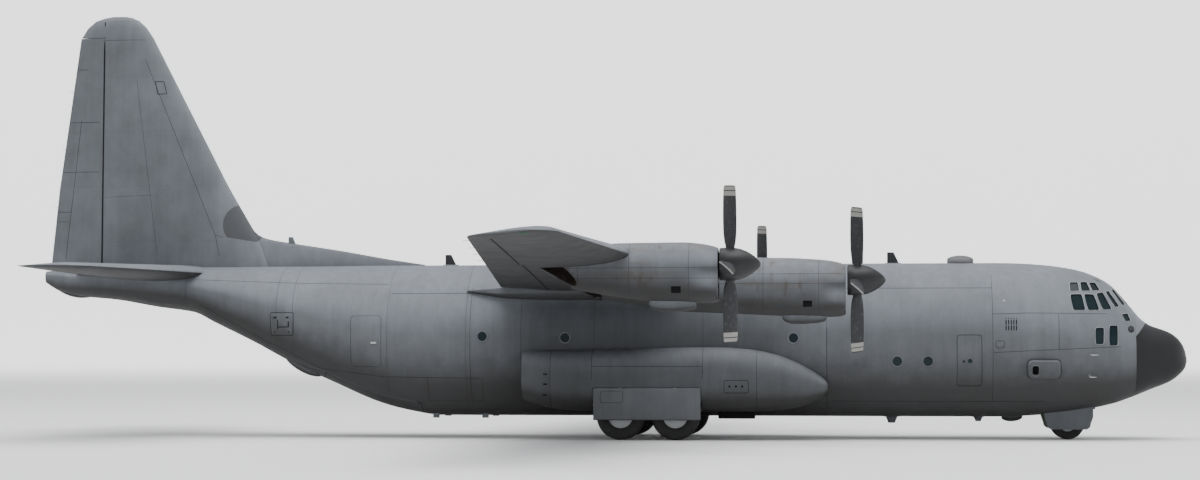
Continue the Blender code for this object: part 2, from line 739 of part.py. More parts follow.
def ramp_outline(gap):
    """The ramp's side view: hinge end, floor line and the slanted face that meets the cargo door."""
    front_x, aft_x = RAMP_X
    aft_keel = table_at(HULL, aft_x, 2)
    floor_aft = aft_keel + 0.34
    hinge_z = table_at(HULL, front_x, 2) + HINGE_RISE
    lean = 0.0 if gap else 0.3
    return [
        (front_x + gap - lean, hinge_z - 0.5),
        (front_x + gap, hinge_z),
        (front_x + gap, FLOOR_Z + gap),
        (aft_x + 0.34 - gap * 0.4, floor_aft + gap),
        (aft_x - 1.20 - gap * 1.4, aft_keel - 1.20),
    ]


def ramp_room():
    return profile_cutter("ramp_room", ramp_outline(RUNNING_GAP), RAMP_HALF_WIDTH + RUNNING_GAP)


def build_cockpit():
    """The glass behind the panes, and the deck with its seats, panel and pedestal."""
    stations = hull_stations(13.70, RADOME_X - SEAT)
    rings = [hull_ring(x, NOSE_SKIN + SEAT) for x in reversed(stations)]
    rings += [hull_ring(x, NOSE_SKIN + GLASS_THICK) for x in stations]
    glass = add_object("cockpit_glazing", loft_mesh("cockpit_glazing", rings, closed=True), "dark_glass")
    boolean(glass, cutter_box("glass_band", (13.8, -3, 3.70), (15.80, 3, 4.72)), "INTERSECT")
    stations = (15.0, 14.6, 13.79, 12.6, 12.3)
    deck = add_object("flight_deck", loft_mesh("flight_deck", [
        hull_ring(x, NOSE_SKIN + DECK_EDGE) for x in stations]), "inner_green")
    slab = cutter_box("deck_slab", (12.3, -2, COCKPIT_FLOOR_Z - 0.1), (15.0, 2, COCKPIT_FLOOR_Z))
    boolean(deck, slab, "INTERSECT")
    for sign in (1, -1):
        for name, (low, high) in (("seat", SEAT_BLOCK), ("seat_back", SEAT_BACK_BLOCK)):
            near, far = sorted((sign * low[1], sign * high[1]))
            block = cutter_box(f"{side_name(sign)}_{name}", (low[0], near, low[2]), (high[0], far, high[2]))
            join(deck, block)
    join(deck, cutter_box("panel", *PANEL_BLOCK), cutter_box("pedestal", *PEDESTAL_BLOCK))


def build_nose_gear():
    """The bay with its fixed doors, the steered leg and the two wheels on one axle."""
    low_x, high_x = NOSE_BAY_X
    wall = 0.05
    box = box_mesh("nose_gear_bay", (low_x + SEAT, -NOSE_BAY_Y + SEAT, 0.30),
                   (high_x - SEAT, NOSE_BAY_Y - SEAT, NOSE_BAY_TOP))
    bay = add_object("nose_gear_bay", box, "body_grey")
    room = cutter_box("bay_room", (low_x + wall, -NOSE_BAY_Y + wall, 0), (high_x - wall, NOSE_BAY_Y - wall,
                                                                         NOSE_BAY_TOP - wall))
    slots = []
    for name, reach in (("bay_front", (high_x - wall - 0.01, high_x + 0.1)),
                        ("bay_rear", (low_x - 0.1, low_x + wall + 0.01))):
        slots.append(cutter_box(name, (reach[0], -2, 0), (reach[1], 2, 0.90)))
    cut(bay, room, *slots)
    sleeve = add_object("bay_sleeve", rod_mesh("bay_sleeve", (NOSE_WHEEL_X, 0, 1.45),
                                               (NOSE_WHEEL_X, 0, NOSE_BAY_TOP - 0.02), 0.16))
    join(bay, sleeve)
    cut(bay, add_object("sleeve_bore", rod_mesh("sleeve_bore", (NOSE_WHEEL_X, 0, 1.2),
                                                (NOSE_WHEEL_X, 0, 1.80), 0.09 + RUNNING_GAP)))
    at = (NOSE_WHEEL_X, 0, 1.40)
    leg = add_object("nose_gear_leg", rod_mesh("nose_gear_leg", (0, 0, NOSE_RADIUS - 1.40 - 0.10),
                                               (0, 0, 0.3992), 0.09), "bare_steel", at)
    half = NOSE_TRACK / 2 - NOSE_WIDTH / 2 - 0.02
    hub = add_object("nose_leg_hub", rod_mesh("nose_leg_hub", (NOSE_WHEEL_X, -half, NOSE_RADIUS),
                                              (NOSE_WHEEL_X, half, NOSE_RADIUS), 0.13))
    bore = add_object("nose_axle_bore", rod_mesh("nose_axle_bore", (NOSE_WHEEL_X, -1, NOSE_RADIUS),
                                                 (NOSE_WHEEL_X, 1, NOSE_RADIUS),
                                                 NOSE_AXLE_RADIUS + PIN_GAP, PIN_SIDES))
    link = cutter_box("nose_link", (NOSE_WHEEL_X + 0.05, -0.05, 0.75), (NOSE_WHEEL_X + 0.17, 0.05, 1.25))
    join(leg, hub, link)
    cut(leg, bore)
    add_object("nose_wheels", turned_mesh("nose_wheels", twin_profile(), WHEEL_SIDES, "Y"),
               "tyre_rubber", (NOSE_WHEEL_X, 0, NOSE_RADIUS))


def tyre_profile(radius, width, middle=0.0):
    """One tyre's outline as (place across, radius), from its left side to its right."""
    half = width / 2
    return [
        (middle - half * 0.55, radius * 0.30),
        (middle - half * 0.62, radius * 0.62),
        (middle - half, radius * 0.80),
        (middle - half * 0.66, radius),
        (middle + half * 0.66, radius),
        (middle + half, radius * 0.80),
        (middle + half * 0.62, radius * 0.62),
        (middle + half * 0.55, radius * 0.30),
    ]


def twin_profile():
    near = tyre_profile(NOSE_RADIUS, NOSE_WIDTH, -NOSE_TRACK / 2)
    far = tyre_profile(NOSE_RADIUS, NOSE_WIDTH, NOSE_TRACK / 2)
    near[-1] = (near[-1][0], NOSE_AXLE_RADIUS)
    near.insert(-1, (near[-1][0], NOSE_RADIUS * 0.3))
    far[0] = (far[0][0], NOSE_AXLE_RADIUS)
    far.insert(1, (far[0][0], NOSE_RADIUS * 0.3))
    return [(0, 0), *near, *far, (0, 0)]


def build_main_gear():
    for sign in (1, -1):
        side = side_name(sign)
        leg = None
        for place, x in zip(("rear", "front"), MAIN_WHEEL_X):
            name = f"{side}_{place}_main_wheel"
            profile = [(0, 0), *tyre_profile(MAIN_RADIUS, MAIN_WIDTH), (0, 0)]
            at = (x, sign * MAIN_WHEEL_Y, MAIN_RADIUS)
            wheel = add_object(name, turned_mesh(name, profile, WHEEL_SIDES, "Y"), "tyre_rubber", at)
            bore = rod_mesh(name + "_bore", (x, 0, MAIN_RADIUS), (x, sign * 4, MAIN_RADIUS),
                            AXLE_RADIUS + PIN_GAP, PIN_SIDES)
            cut(wheel, add_object(name + "_bore", bore))
            post = rod_mesh(f"{name}_post", (x, sign * LEG_Y, MAIN_RADIUS - 0.1),
                            (x, sign * LEG_Y, BAY_TOP - SEAT), LEG_RADIUS)
            axle = rod_mesh(f"{name}_axle", (x, sign * (MAIN_WHEEL_Y - 0.2), MAIN_RADIUS),
                            (x, sign * LEG_Y, MAIN_RADIUS), AXLE_RADIUS, PIN_SIDES)
            if leg is None:
                leg = add_object(f"{side}_main_gear_legs", post, "bare_steel")
            else:
                join(leg, add_object(f"{name}_post", post))
            join(leg, add_object(f"{name}_axle", axle))
        beam = rod_mesh(f"{side}_leg_beam", (MAIN_WHEEL_X[0], sign * LEG_Y, 1.60),
                        (MAIN_WHEEL_X[1], sign * LEG_Y, 1.60), 0.05)
        join(leg, add_object(f"{side}_leg_beam", beam))


def sponson_ring(row, sign):
    x, top, bottom, outer = row
    half_high = (top - bottom) / 2
    half_wide = outer - SPONSON_CENTRE_Y
    ring = []
    for k in range(SPONSON_POINTS):
        angle = 2 * pi * k / SPONSON_POINTS
        across = abs(cos(angle)) ** 0.55 * (1 if cos(angle) > 0 else -1)
        rise = abs(sin(angle)) ** 0.55 * (1 if sin(angle) > 0 else -1)
        ring.append((x, sign * (SPONSON_CENTRE_Y + half_wide * across), bottom + half_high * (1 + rise)))
    return ring


def build_sponsons():
    hull = solid_hull_cutter("hull_in_sponson", -4.0, 8.0)
    for sign in (1, -1):
        side = side_name(sign)
        name = f"{side}_sponson"
        body = add_object(name, loft_mesh(name, [sponson_ring(row, sign) for row in SPONSON]), "body_grey")
        cut(body, hull)
        sides = sorted((sign * BAY_Y[0], sign * BAY_Y[1]))
        cut(body, cutter_box(f"{side}_bay", (BAY_X[0], sides[0], 0), (BAY_X[1], sides[1], BAY_TOP)))
        low_x, high_x, low_z, high_z = MAIN_DOOR
        sides = sorted((sign * BAY_Y[1] * 0.98, sign * 4))
        gap = RUNNING_GAP
        cut(body, cutter_box(f"{side}_door_way", (low_x - gap, sides[0], 0), (high_x + gap, sides[1],
                                                                             high_z + gap)))
        build_main_gear_door(side, sign, body)


def build_main_gear_door(side, sign, sponson):
    """A flat door with a round upper edge, hung on pins at both ends of that edge."""
    low_x, high_x, low_z, high_z = MAIN_DOOR
    half = DOOR_THICK / 2
    hinge_y = sign * (DOOR_OUTER_Y - half)
    hinge_z = high_z - half
    outline = [(-half, low_z - hinge_z), (half, low_z - hinge_z)]
    for k in range(NOSE_ARC_STEPS + 1):
        angle = pi * k / NOSE_ARC_STEPS
        outline.append((half * cos(angle), half * sin(angle)))
    name = f"{side}_main_gear_door"
    rings = [[(x, y, z) for y, z in outline] for x in (0, high_x - low_x)]
    door = add_object(name, loft_mesh(name, rings), "body_grey", (low_x, hinge_y, hinge_z))
    ends = (("rear", low_x - 0.08, low_x + 0.05), ("front", high_x - 0.05, high_x + 0.08))
    for end, start_x, end_x in ends:
        pin_between(f"{name}_{end}_pin", door, sponson, (start_x, hinge_y, hinge_z),
                    (end_x, hinge_y, hinge_z), DOOR_PIN_RADIUS)


def build_aft_fuselage():
    rings = tube_rings(TAIL_BREAK_X + SEAT, AFT_BREAK_X - SEAT, SKIN)
    body = add_object("aft_fuselage", loft_mesh("aft_fuselage", rings, closed=True), "body_grey")
    cut(body, cargo_door_room(RUNNING_GAP), ramp_room())
    build_cargo_door(body)
    for sign in (1, -1):
        cut_side_door(body, f"{side_name(sign)}_paratroop_door", PARATROOP_DOOR, sign, SKIN, SEAT)


def build_ramp(centre_body):
    """The cargo ramp, a wedge between the belly and the floor line, on a hinge in the belly's skin."""
    front_x = RAMP_X[0]
    at = Vector((front_x, 0, table_at(HULL, front_x, 2) + HINGE_RISE))
    stations = hull_stations(-9.9, front_x)
    rings = [[Vector(point) - at for point in hull_ring(x)] for x in stations]
    ramp = add_object("cargo_ramp", loft_mesh("cargo_ramp", rings), "body_grey", at)
    boolean(ramp, profile_cutter("ramp_shape", ramp_outline(0.0), RAMP_HALF_WIDTH), "INTERSECT")
    pin_between("ramp_hinge", ramp, centre_body, (at.x, -HINGE_HALF_SPAN, at.z),
                (at.x, HINGE_HALF_SPAN, at.z), HINGE_RADIUS)


def build_cargo_door(aft_body):
    """The cargo door, a curved slab of the belly, on a hinge in the skin behind it."""
    aft_x = CARGO_DOOR_AFT_X
    at = Vector((aft_x, 0, table_at(HULL, aft_x, 2) + HINGE_RISE))
    stations = hull_stations(aft_x - 0.1, -7.5)
    rings = [[Vector(point) - at for point in hull_ring(x)] for x in stations]
    rings += [[Vector(point) - at for point in hull_ring(x, CARGO_DOOR_THICK)] for x in reversed(stations)]
    door = add_object("cargo_door", loft_mesh("cargo_door", rings, closed=True), "body_grey", at)
    boolean(door, cargo_door_room(0.0), "INTERSECT")
    pin_between("cargo_door_hinge", door, aft_body, (at.x, -HINGE_HALF_SPAN, at.z),
                (at.x, HINGE_HALF_SPAN, at.z), HINGE_RADIUS)


def cargo_door_room(gap):
    """The slot of the cargo door: slanted at the ramp, tapered to the tail."""
    front_x = RAMP_X[1]
    keel = table_at(HULL, front_x, 2)
    aft_x = CARGO_DOOR_AFT_X
    aft_keel = table_at(HULL, aft_x, 2)
    slant = RAMP_SLANT_GAP if gap == 0 else -0.2
    lean = 0.0 if gap else 0.45
    outline = [
        (front_x - 0.9 - slant, keel - 0.9),
        (front_x + 0.8 - slant, keel + 0.8),
        (aft_x - gap + lean, aft_keel + 0.9),
        (aft_x - gap, aft_keel + HINGE_RISE),
        (aft_x - gap, aft_keel - 1.2),
    ]
    name = f"cargo_door_{'room' if gap else 'shape'}"

    def half_width(x):
        share = (front_x - x) / (front_x - aft_x)
        return CARGO_DOOR_HALF_WIDTH + gap + share * (CARGO_DOOR_AFT_HALF_WIDTH - CARGO_DOOR_HALF_WIDTH)

    return add_object(name, prism_mesh(name, outline, lambda x: -half_width(x), half_width))


def build_tail():
    """Tail cone, tailplane with its elevators, fin with its dorsal fin, and rudder."""
    rings = [hull_ring(x) for x in hull_stations(TAIL_TIP_X, TAIL_BREAK_X)]
    rings += [hull_ring(x, TAIL_SKIN) for x in reversed(hull_stations(TAIL_SOLID_X, TAIL_BREAK_X))]
    cone = add_object("tail_cone", loft_mesh("tail_cone", rings), "body_grey")
    spans = [row[0] for row in TAILPLANE]
    spans = [-span for span in reversed(spans[1:])] + spans
    rings = wing_rings(TAILPLANE, spans, 0, TAIL_HALF, TAIL_HALF)
    plane = add_object("tailplane", loft_mesh("tailplane", rings), "body_grey")
    grown = wing_rings(TAILPLANE, spans, SEAT, TAIL_HALF, TAIL_HALF)
    shadow = add_object("tailplane_room", loft_mesh("tailplane_room", grown))
    for sign in (1, -1):
        cut(plane, elevator_room(sign, RUNNING_GAP))
        elevator = build_elevator(sign)
        for end, span, way in zip(("inner", "outer"), ELEVATOR_SPAN, (-1, 1)):
            inside = (ELEVATOR_HINGE_X, sign * (span - way * SURFACE_PIN_IN), TAILPLANE[0][2])
            outside = (ELEVATOR_HINGE_X, sign * (span + way * SURFACE_PIN_OUT), TAILPLANE[0][2])
            pin_between(f"{side_name(sign)}_elevator_{end}_pin", elevator, plane, inside, outside,
                        SURFACE_PIN_RADIUS)
    cut(plane, tailplane_core(), solid_hull_cutter("hull_before_tail", TAIL_BREAK_X - SEAT, -10.0))
    cut(cone, shadow)
    build_fin(shadow, cone)


def tailplane_core():
    """The hollow between the tailplane's skins, open to the tail cone at its middle."""
    spans = (-TAIL_CORE_SPAN, 0.0, TAIL_CORE_SPAN)
    rings = core_rings(TAILPLANE, spans, TAIL_CORE_SHARES, TAIL_PLATE, TAIL_HALF, TAIL_HALF)
    core = add_object("tailplane_core", loft_mesh("tailplane_core", rings))
    return join(core, cutter_box("tailplane_core_way", (-14.3, -0.4, 4.6), (-13.5, 0.4, 5.0)))


def elevator_ring(span, gap, tail_push):
    """An elevator's section about its straight hinge; gap widens it into the room it needs."""
    row = wing_row(TAILPLANE, span)
    chord = row[0] - row[2]
    share = (row[0] - ELEVATOR_HINGE_X) / chord
    radius = camber(share, TAIL_HALF, TAIL_HALF)[0] * row[4] * chord + gap
    edge = radius if tail_push else TRAILING_EDGE
    ring = [(row[2] - tail_push, row[3] + edge)]
    for k in range(NOSE_ARC_STEPS + 1):
        angle = pi / 2 + pi * k / NOSE_ARC_STEPS
        ring.append((ELEVATOR_HINGE_X - radius * cos(angle), row[3] + radius * sin(angle)))
    ring.append((row[2] - tail_push, row[3] - edge))
    return ring


def elevator_room(sign, gap):
    rings = []
    for span, push in zip(ELEVATOR_SPAN, (-gap, gap)):
        rings.append([(x, sign * (span + push), z) for x, z in elevator_ring(span, gap, 0.4)])
    name = f"{side_name(sign)}_elevator_room"
    return add_object(name, loft_mesh(name, rings))


def build_elevator(sign):
    name = f"{side_name(sign)}_elevator"
    at = (ELEVATOR_HINGE_X, sign * ELEVATOR_SPAN[0], TAILPLANE[0][2])
    rings = []
    for span in ELEVATOR_SPAN:
        ring = elevator_ring(span, 0.0, 0.0)
        rings.append([(x - at[0], sign * span - at[1], z - at[2]) for x, z in ring])
    elevator = add_object(name, loft_mesh(name, rings), "body_grey", at)
    spans = (ELEVATOR_SPAN[0] - 0.1, ELEVATOR_CORE_SPAN)
    core = [[(x, sign * span, z) for x, z in wedge_core(*elevator_wedge(span))] for span in spans]
    return cut(elevator, add_object(name + "_core", loft_mesh(name + "_core", core)))


def elevator_wedge(span):
    """Hinge place, half height there, trailing edge and middle height of an elevator."""
    row = wing_row(TAILPLANE, span)
    chord = row[0] - row[2]
    radius = camber((row[0] - ELEVATOR_HINGE_X) / chord, TAIL_HALF, TAIL_HALF)[0] * row[4] * chord
    return ELEVATOR_HINGE_X, radius, row[2], row[3]


def wedge_core(hinge_x, radius, rear_x, middle):
    """The hollow behind a hinge, between flat sides that meet at the trailing edge."""
    points = []
    for share in CORE_WEDGE:
        half = radius + share * (TRAILING_EDGE - radius) - WEDGE_PLATE
        points.append((hinge_x + share * (rear_x - hinge_x), half))
    return [(x, middle + half) for x, half in points] + [(x, middle - half) for x, half in points[::-1]]


def fin_half(share):
    """Half thickness along the fin's chord, as part of its greatest half thickness."""
    return (2.969 * sqrt(share) - 1.26 * share - 3.516 * share ** 2
            + 2.843 * share ** 3 - 1.015 * share ** 4 + 0.03 * share)


def fin_ring(z):
    front, rear, half = (table_at(FIN, z, column) for column in range(1, 4))
    left = []
    right = []
    for share in FIN_SHARES:
        x = front - share * (front - rear)
        left.append((x, half * fin_half(share), z))
        right.append((x, -half * fin_half(share), z))
    return left + right[:0:-1]


def rudder_radius(z):
    front, rear, half = (table_at(FIN, z, column) for column in range(1, 4))
    return half * fin_half((front - RUDDER_HINGE_X) / (front - rear))


def rudder_ring(z, gap=0.0, tail_push=0.0):
    rear = table_at(FIN, z, 2)
    radius = rudder_radius(z) + gap
    edge = radius if tail_push else TRAILING_EDGE
    ring = [(rear - tail_push, edge, z)]
    for k in range(NOSE_ARC_STEPS + 1):
        angle = pi / 2 + pi * k / NOSE_ARC_STEPS
        ring.append((RUDDER_HINGE_X - radius * cos(angle), radius * sin(angle), z))
    ring.append((rear - tail_push, -edge, z))
    return ring


def fin_core():
    """The hollow between the fin's skins, open to the tail cone below."""
    rings = []
    for z in FIN_CORE_Z:
        front, rear, half = (table_at(FIN, z, column) for column in range(1, 4))
        left = []
        right = []
        for share in FIN_CORE_SHARES:
            x = front - share * (front - RUDDER_HINGE_X)
            width = half * fin_half((front - x) / (front - rear)) - TAIL_PLATE
            left.append((x, width, z))
            right.append((x, -width, z))
        rings.append(left + right[::-1])
    return add_object("fin_core", loft_mesh("fin_core", rings))


def build_fin(tailplane_room, cone):
    fin = add_object("fin", loft_mesh("fin", [fin_ring(row[0]) for row in FIN]), "body_grey")
    rings = []
    for x, low, high, half in DORSAL:
        rings.append([(x, half, low), (x, half * 0.75, (low + high) / 2), (x, DORSAL_EDGE, high),
                      (x, -DORSAL_EDGE, high), (x, -half * 0.75, (low + high) / 2), (x, -half, low)])
    join(fin, add_object("dorsal_fin", loft_mesh("dorsal_fin", rings)))
    low, high = RUDDER_SPAN
    gap = RUNNING_GAP
    hull_top = solid_hull_cutter("hull_under_fin", TAIL_TIP_X, -4.98)
    levels = (low - 1.0, low, FIN[1][0], high)
    rings = [rudder_ring(z, gap, RUDDER_ROOM_TAIL) for z in levels]
    rings[-1] = [(x, y, high + gap) for x, y, z in rings[-1]]
    room = loft_mesh("rudder_room", rings)
    cut(fin, fin_core(), hull_top, tailplane_room, add_object("rudder_room", room))
    at = Vector((RUDDER_HINGE_X, 0, low))
    rings = [[Vector(point) - at for point in rudder_ring(z)] for z in (low, FIN[1][0], high)]
    rudder = add_object("rudder", loft_mesh("rudder", rings), "body_grey", at)
    core = []
    for z in (low - 0.1, FIN[1][0], RUDDER_CORE_TOP_Z):
        wedge = wedge_core(at.x, rudder_radius(z), table_at(FIN, z, 2), 0.0)
        core.append([(x, y, z) for x, y in wedge])
    cut(rudder, add_object("rudder_core", loft_mesh("rudder_core", core)))
    pin_between("rudder_lower_pin", rudder, cone, (at.x, 0, RUDDER_PIN_FOOT_Z),
                (at.x, 0, low + SURFACE_PIN_IN), RUDDER_PIN_RADIUS)
    pin_between("rudder_upper_pin", rudder, fin, (at.x, 0, high - SURFACE_PIN_IN),
                (at.x, 0, high + SURFACE_PIN_OUT), RUDDER_PIN_RADIUS)


def nacelle_ring(row, plane_x, centre_y, hub_z):
    back, crown, keel, half = row
    middle = (crown + keel) / 2 + 0.10
    ring = []
    for k in range(NACELLE_POINTS):
        angle = 2 * pi * k / NACELLE_POINTS
        rise = sin(angle)
        reach = crown - middle if rise > 0 else middle - keel
        power = 1.0 if rise > 0 else 0.8
        side = abs(cos(angle)) ** power * (1 if cos(angle) > 0 else -1)
        ring.append((plane_x - back, centre_y + half * side, hub_z + middle + reach * rise))
    return ring


def build_engine(name, y, hub_z, plane_x, rows, clocking, wing_shadow):
    """A nacelle with its intake, bore and exhaust, the engine block in it, and the propeller."""
    rings = [nacelle_ring(row, plane_x, y, hub_z) for row in rows]
    nacelle = add_object(f"{name}_nacelle", loft_mesh(f"{name}_nacelle", rings), "body_grey")
    front = plane_x - rows[0][0]
    low, high, half_y, half_z = ENGINE_BLOCK
    block_low = (plane_x - high, y - half_y, hub_z - half_z - 0.12)
    block_high = (plane_x - low, y + half_y, hub_z + half_z - 0.12)
    room_low = [value - SEAT for value in block_low]
    room_high = [value + SEAT for value in block_high]
    intake_z = hub_z - INTAKE_DROP
    across, rise = INTAKE_HALF
    intake = cutter_box(f"{name}_intake", (front - INTAKE_DEPTH, y - across, intake_z - rise),
                        (front + 0.2, y + across, intake_z + rise))
    bore = rod_mesh(f"{name}_bore", (plane_x - low - 0.02, y, hub_z), (plane_x, y, hub_z),
                    SHAFT_RADIUS + RUNNING_GAP)
    tail_x = plane_x - rows[-1][0]
    exhaust = rod_mesh(f"{name}_exhaust", (tail_x - 0.2, y, hub_z + (rows[-1][1] + rows[-1][2]) / 2),
                       (tail_x + 0.7, y, hub_z + (rows[-1][1] + rows[-1][2]) / 2), 0.19)
    cut(nacelle, intake, add_object(f"{name}_bore", bore), add_object(f"{name}_exhaust", exhaust),
        cutter_box(f"{name}_block_room", room_low, room_high), wing_shadow)
    add_object(f"{name}_engine", box_mesh(f"{name}_engine", block_low, block_high), "engine_metal")
    build_propeller(name, (plane_x, y, hub_z), low, clocking)


def blade_mesh(name, turn_degrees):
    """A twisted blade from the hub outward, turned about the propeller's axis."""
    rings = []
    turn = Matrix.Rotation(radians(turn_degrees), 3, "X")
    for radius, chord, thick, pitch in BLADE:
        ring = []
        for along, across in BLADE_SECTION:
            flat = Vector((thick * across, chord * along, 0))
            flat.rotate(Matrix.Rotation(radians(pitch), 3, "Z"))
            ring.append(turn @ Vector((flat.x, flat.y, radius)))
        rings.append(ring)
    return loft_mesh(name, rings)


def build_propeller(name, at, shaft_reach, clocking):
    spinner = turned_mesh(f"{name}_propeller", SPINNER, 16)
    item = add_object(f"{name}_propeller", spinner, "blade_grey", at)
    shaft = rod_mesh(f"{name}_shaft", (-shaft_reach + 0.0008, 0, 0), (0.0, 0, 0), SHAFT_RADIUS)
    pieces = [add_object(f"{name}_shaft", shaft, at=at)]
    for k in range(4):
        blade = blade_mesh(f"{name}_blade_{k}", 90 * k + clocking)
        pieces.append(add_object(f"{name}_blade_{k}", blade, at=at))
    join(item, *pieces)


def build_engines():
    for engine in ENGINES:
        sign = 1 if engine[1] > 0 else -1
        rings = wing_rings(WING, [sign * span for span in wing_stations()], 0.0015)
        name = f"{engine[0]}_wing_room"
        build_engine(*engine, add_object(name, loft_mesh(name, rings)))


def main():
    build_forward_fuselage()
    build_cockpit()
    build_nose_gear()
    build_centre_fuselage()
    build_aft_fuselage()
    build_tail()
    build_wings()
    build_engines()
    build_sponsons()
    build_main_gear()


main()
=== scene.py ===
"""Looks of the military transport plane, a 1:2 scale model parked on its gear.

Sizes are the real aircraft's, in metres, in the frame of the solids: +X nose, +Y left, +Z up.
SCALE halves them as each mesh is made.
"""

from math import cos, exp, pi, radians, sin, sqrt

import bmesh
import bpy
import numpy as np
from mathutils import Matrix, Vector


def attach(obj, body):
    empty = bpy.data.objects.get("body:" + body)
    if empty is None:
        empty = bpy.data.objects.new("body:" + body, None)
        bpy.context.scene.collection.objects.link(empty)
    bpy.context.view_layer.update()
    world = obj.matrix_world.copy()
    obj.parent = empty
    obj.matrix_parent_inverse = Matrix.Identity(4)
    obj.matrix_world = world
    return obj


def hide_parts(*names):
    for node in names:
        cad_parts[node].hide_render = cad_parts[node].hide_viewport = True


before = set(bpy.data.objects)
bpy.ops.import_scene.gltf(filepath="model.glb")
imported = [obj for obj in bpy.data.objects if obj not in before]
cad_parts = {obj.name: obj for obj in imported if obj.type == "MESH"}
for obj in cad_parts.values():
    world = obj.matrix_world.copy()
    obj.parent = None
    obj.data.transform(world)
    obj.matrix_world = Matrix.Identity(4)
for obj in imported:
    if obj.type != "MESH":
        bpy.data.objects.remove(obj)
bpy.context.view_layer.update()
SCALE = 0.5
BODY = "airframe"
SIDES = (("left", 1), ("right", -1))

# camera fitted to the photograph: full-size place, yaw to the tail and pitch up
CAMERA_AT = (7.855, -72.347, 2.650)
CAMERA_YAW = radians(6.229)
CAMERA_PITCH = radians(2.635)
CAMERA_LENS = 71.55

# outline of the fuselage: x, crown z
CROWN = [
    (-17.465, 5.10), (-16.40, 5.19), (-14.50, 5.22), (-10.00, 5.22), (-6.00, 5.24), (12.00, 5.25),
    (12.62, 5.23), (13.21, 5.19), (13.79, 5.12), (14.38, 5.00), (14.97, 4.76), (15.26, 4.57),
    (15.55, 4.26), (15.84, 3.91), (16.13, 3.57), (16.42, 3.37), (16.71, 3.27), (17.00, 3.15),
    (17.20, 3.00), (17.34, 2.82), (17.43, 2.60), (17.465, 2.42),
]
# outline of the fuselage: x, keel z
KEEL = [
    (-17.465, 4.74), (-17.04, 4.49), (-16.39, 4.33), (-15.11, 4.20), (-13.82, 3.98), (-12.54, 3.79),
    (-11.91, 3.48), (-10.63, 2.86), (-9.37, 2.19), (-8.10, 1.62), (-6.85, 1.08), (-6.22, 0.89),
    (-5.40, 0.72), (-4.98, 0.66), (12.00, 0.66), (13.17, 0.72), (14.34, 0.86), (15.23, 1.04),
    (15.81, 1.24), (16.40, 1.48), (16.98, 1.72), (17.28, 1.95), (17.42, 2.13), (17.465, 2.27),
]
# half width of the fuselage in plan
BEAM = [
    (-17.465, 0.15), (-16.40, 0.62), (-14.50, 1.12), (-12.54, 1.60), (-10.00, 1.95), (-8.10, 2.09),
    (-6.22, 2.16), (-4.98, 2.17), (12.60, 2.17), (13.79, 2.10), (14.60, 1.93), (15.26, 1.72),
    (15.86, 1.42), (16.42, 1.10), (16.90, 0.80), (17.20, 0.56), (17.38, 0.32), (17.465, 0.09),
]
# height of the fuselage's widest place
WAIST = [
    (-17.465, 4.98), (-16.40, 4.88), (-14.50, 4.75), (-12.54, 4.55), (-10.00, 3.95), (-8.10, 3.50),
    (-6.22, 3.15), (-4.98, 3.08), (12.60, 3.08), (13.79, 2.95), (14.60, 2.80), (15.26, 2.65),
    (15.86, 2.52), (16.42, 2.43), (17.465, 2.35),
]
HULL_LOW_POWER = 2.7
HULL_POINTS = 96
VISIBLE_SKIN = 0.07
NOSE_X, TAIL_X = 17.465, -17.465
RADOME_X = 15.86
FORWARD_BREAK_X = 6.87
AFT_BREAK_X = -6.22
TAIL_BREAK_X = -12.54
SEAM = 0.006


def smooth(table, x):
    """A monotone cubic through a table's points, so that outlines keep no corners."""
    xs = np.array([row[0] for row in table])
    ys = np.array([row[1] for row in table])
    slopes = np.diff(ys) / np.diff(xs)
    tangents = np.zeros(len(xs))
    for k in range(1, len(xs) - 1):
        if slopes[k - 1] * slopes[k] > 0:
            tangents[k] = 2 * slopes[k - 1] * slopes[k] / (slopes[k - 1] + slopes[k])
    tangents[0], tangents[-1] = slopes[0], slopes[-1]
    x = min(max(x, xs[0]), xs[-1])
    k = int(min(np.searchsorted(xs, x, side="right") - 1, len(xs) - 2))
    width = xs[k + 1] - xs[k]
    t = (x - xs[k]) / width
    near = (1 + 2 * t) * (1 - t) ** 2 * ys[k] + t * (1 - t) ** 2 * width * tangents[k]
    far = t * t * (3 - 2 * t) * ys[k + 1] + t * t * (t - 1) * width * tangents[k + 1]
    return float(near + far)


def straight(table, x, column=1):
    return float(np.interp(x, [row[0] for row in table], [row[column] for row in table]))


def row_at(rows, x):
    """The three columns of a table at a place, each on a smooth curve through its rows."""
    return [smooth([(row[0], row[column]) for row in rows], x) for column in (1, 2, 3)]


def circle(steps):
    """The cosine and sine of equal steps, once round."""
    angles = [2 * pi * k / steps for k in range(steps)]
    return [(cos(angle), sin(angle)) for angle in angles]


def signed_power(value, power):
    return abs(value) ** power * (1 if value > 0 else -1)


def hull_sizes(x, inset=0.0):
    return (smooth(CROWN, x) - inset, smooth(KEEL, x) + inset, smooth(BEAM, x) - inset, smooth(WAIST, x))


def hull_ring(x, inset=0.0, points=HULL_POINTS):
    crown, keel, half, waist = hull_sizes(x, inset)
    power = 2 / HULL_LOW_POWER
    ring = []
    for across, rise in circle(points):
        if rise >= 0:
            ring.append((x, half * across, waist + (crown - waist) * rise))
        else:
            depth = (waist - keel) * abs(rise) ** power
            ring.append((x, half * signed_power(across, power), waist - depth))
    return ring


def hull_y(x, z, inset=0.0):
    crown, keel, half, waist = hull_sizes(x, inset)
    if z >= crown or z <= keel:
        return 0.0
    if z >= waist:
        return half * sqrt(1 - ((z - waist) / (crown - waist)) ** 2)
    return half * (1 - ((waist - z) / (waist - keel)) ** HULL_LOW_POWER) ** (1 / HULL_LOW_POWER)


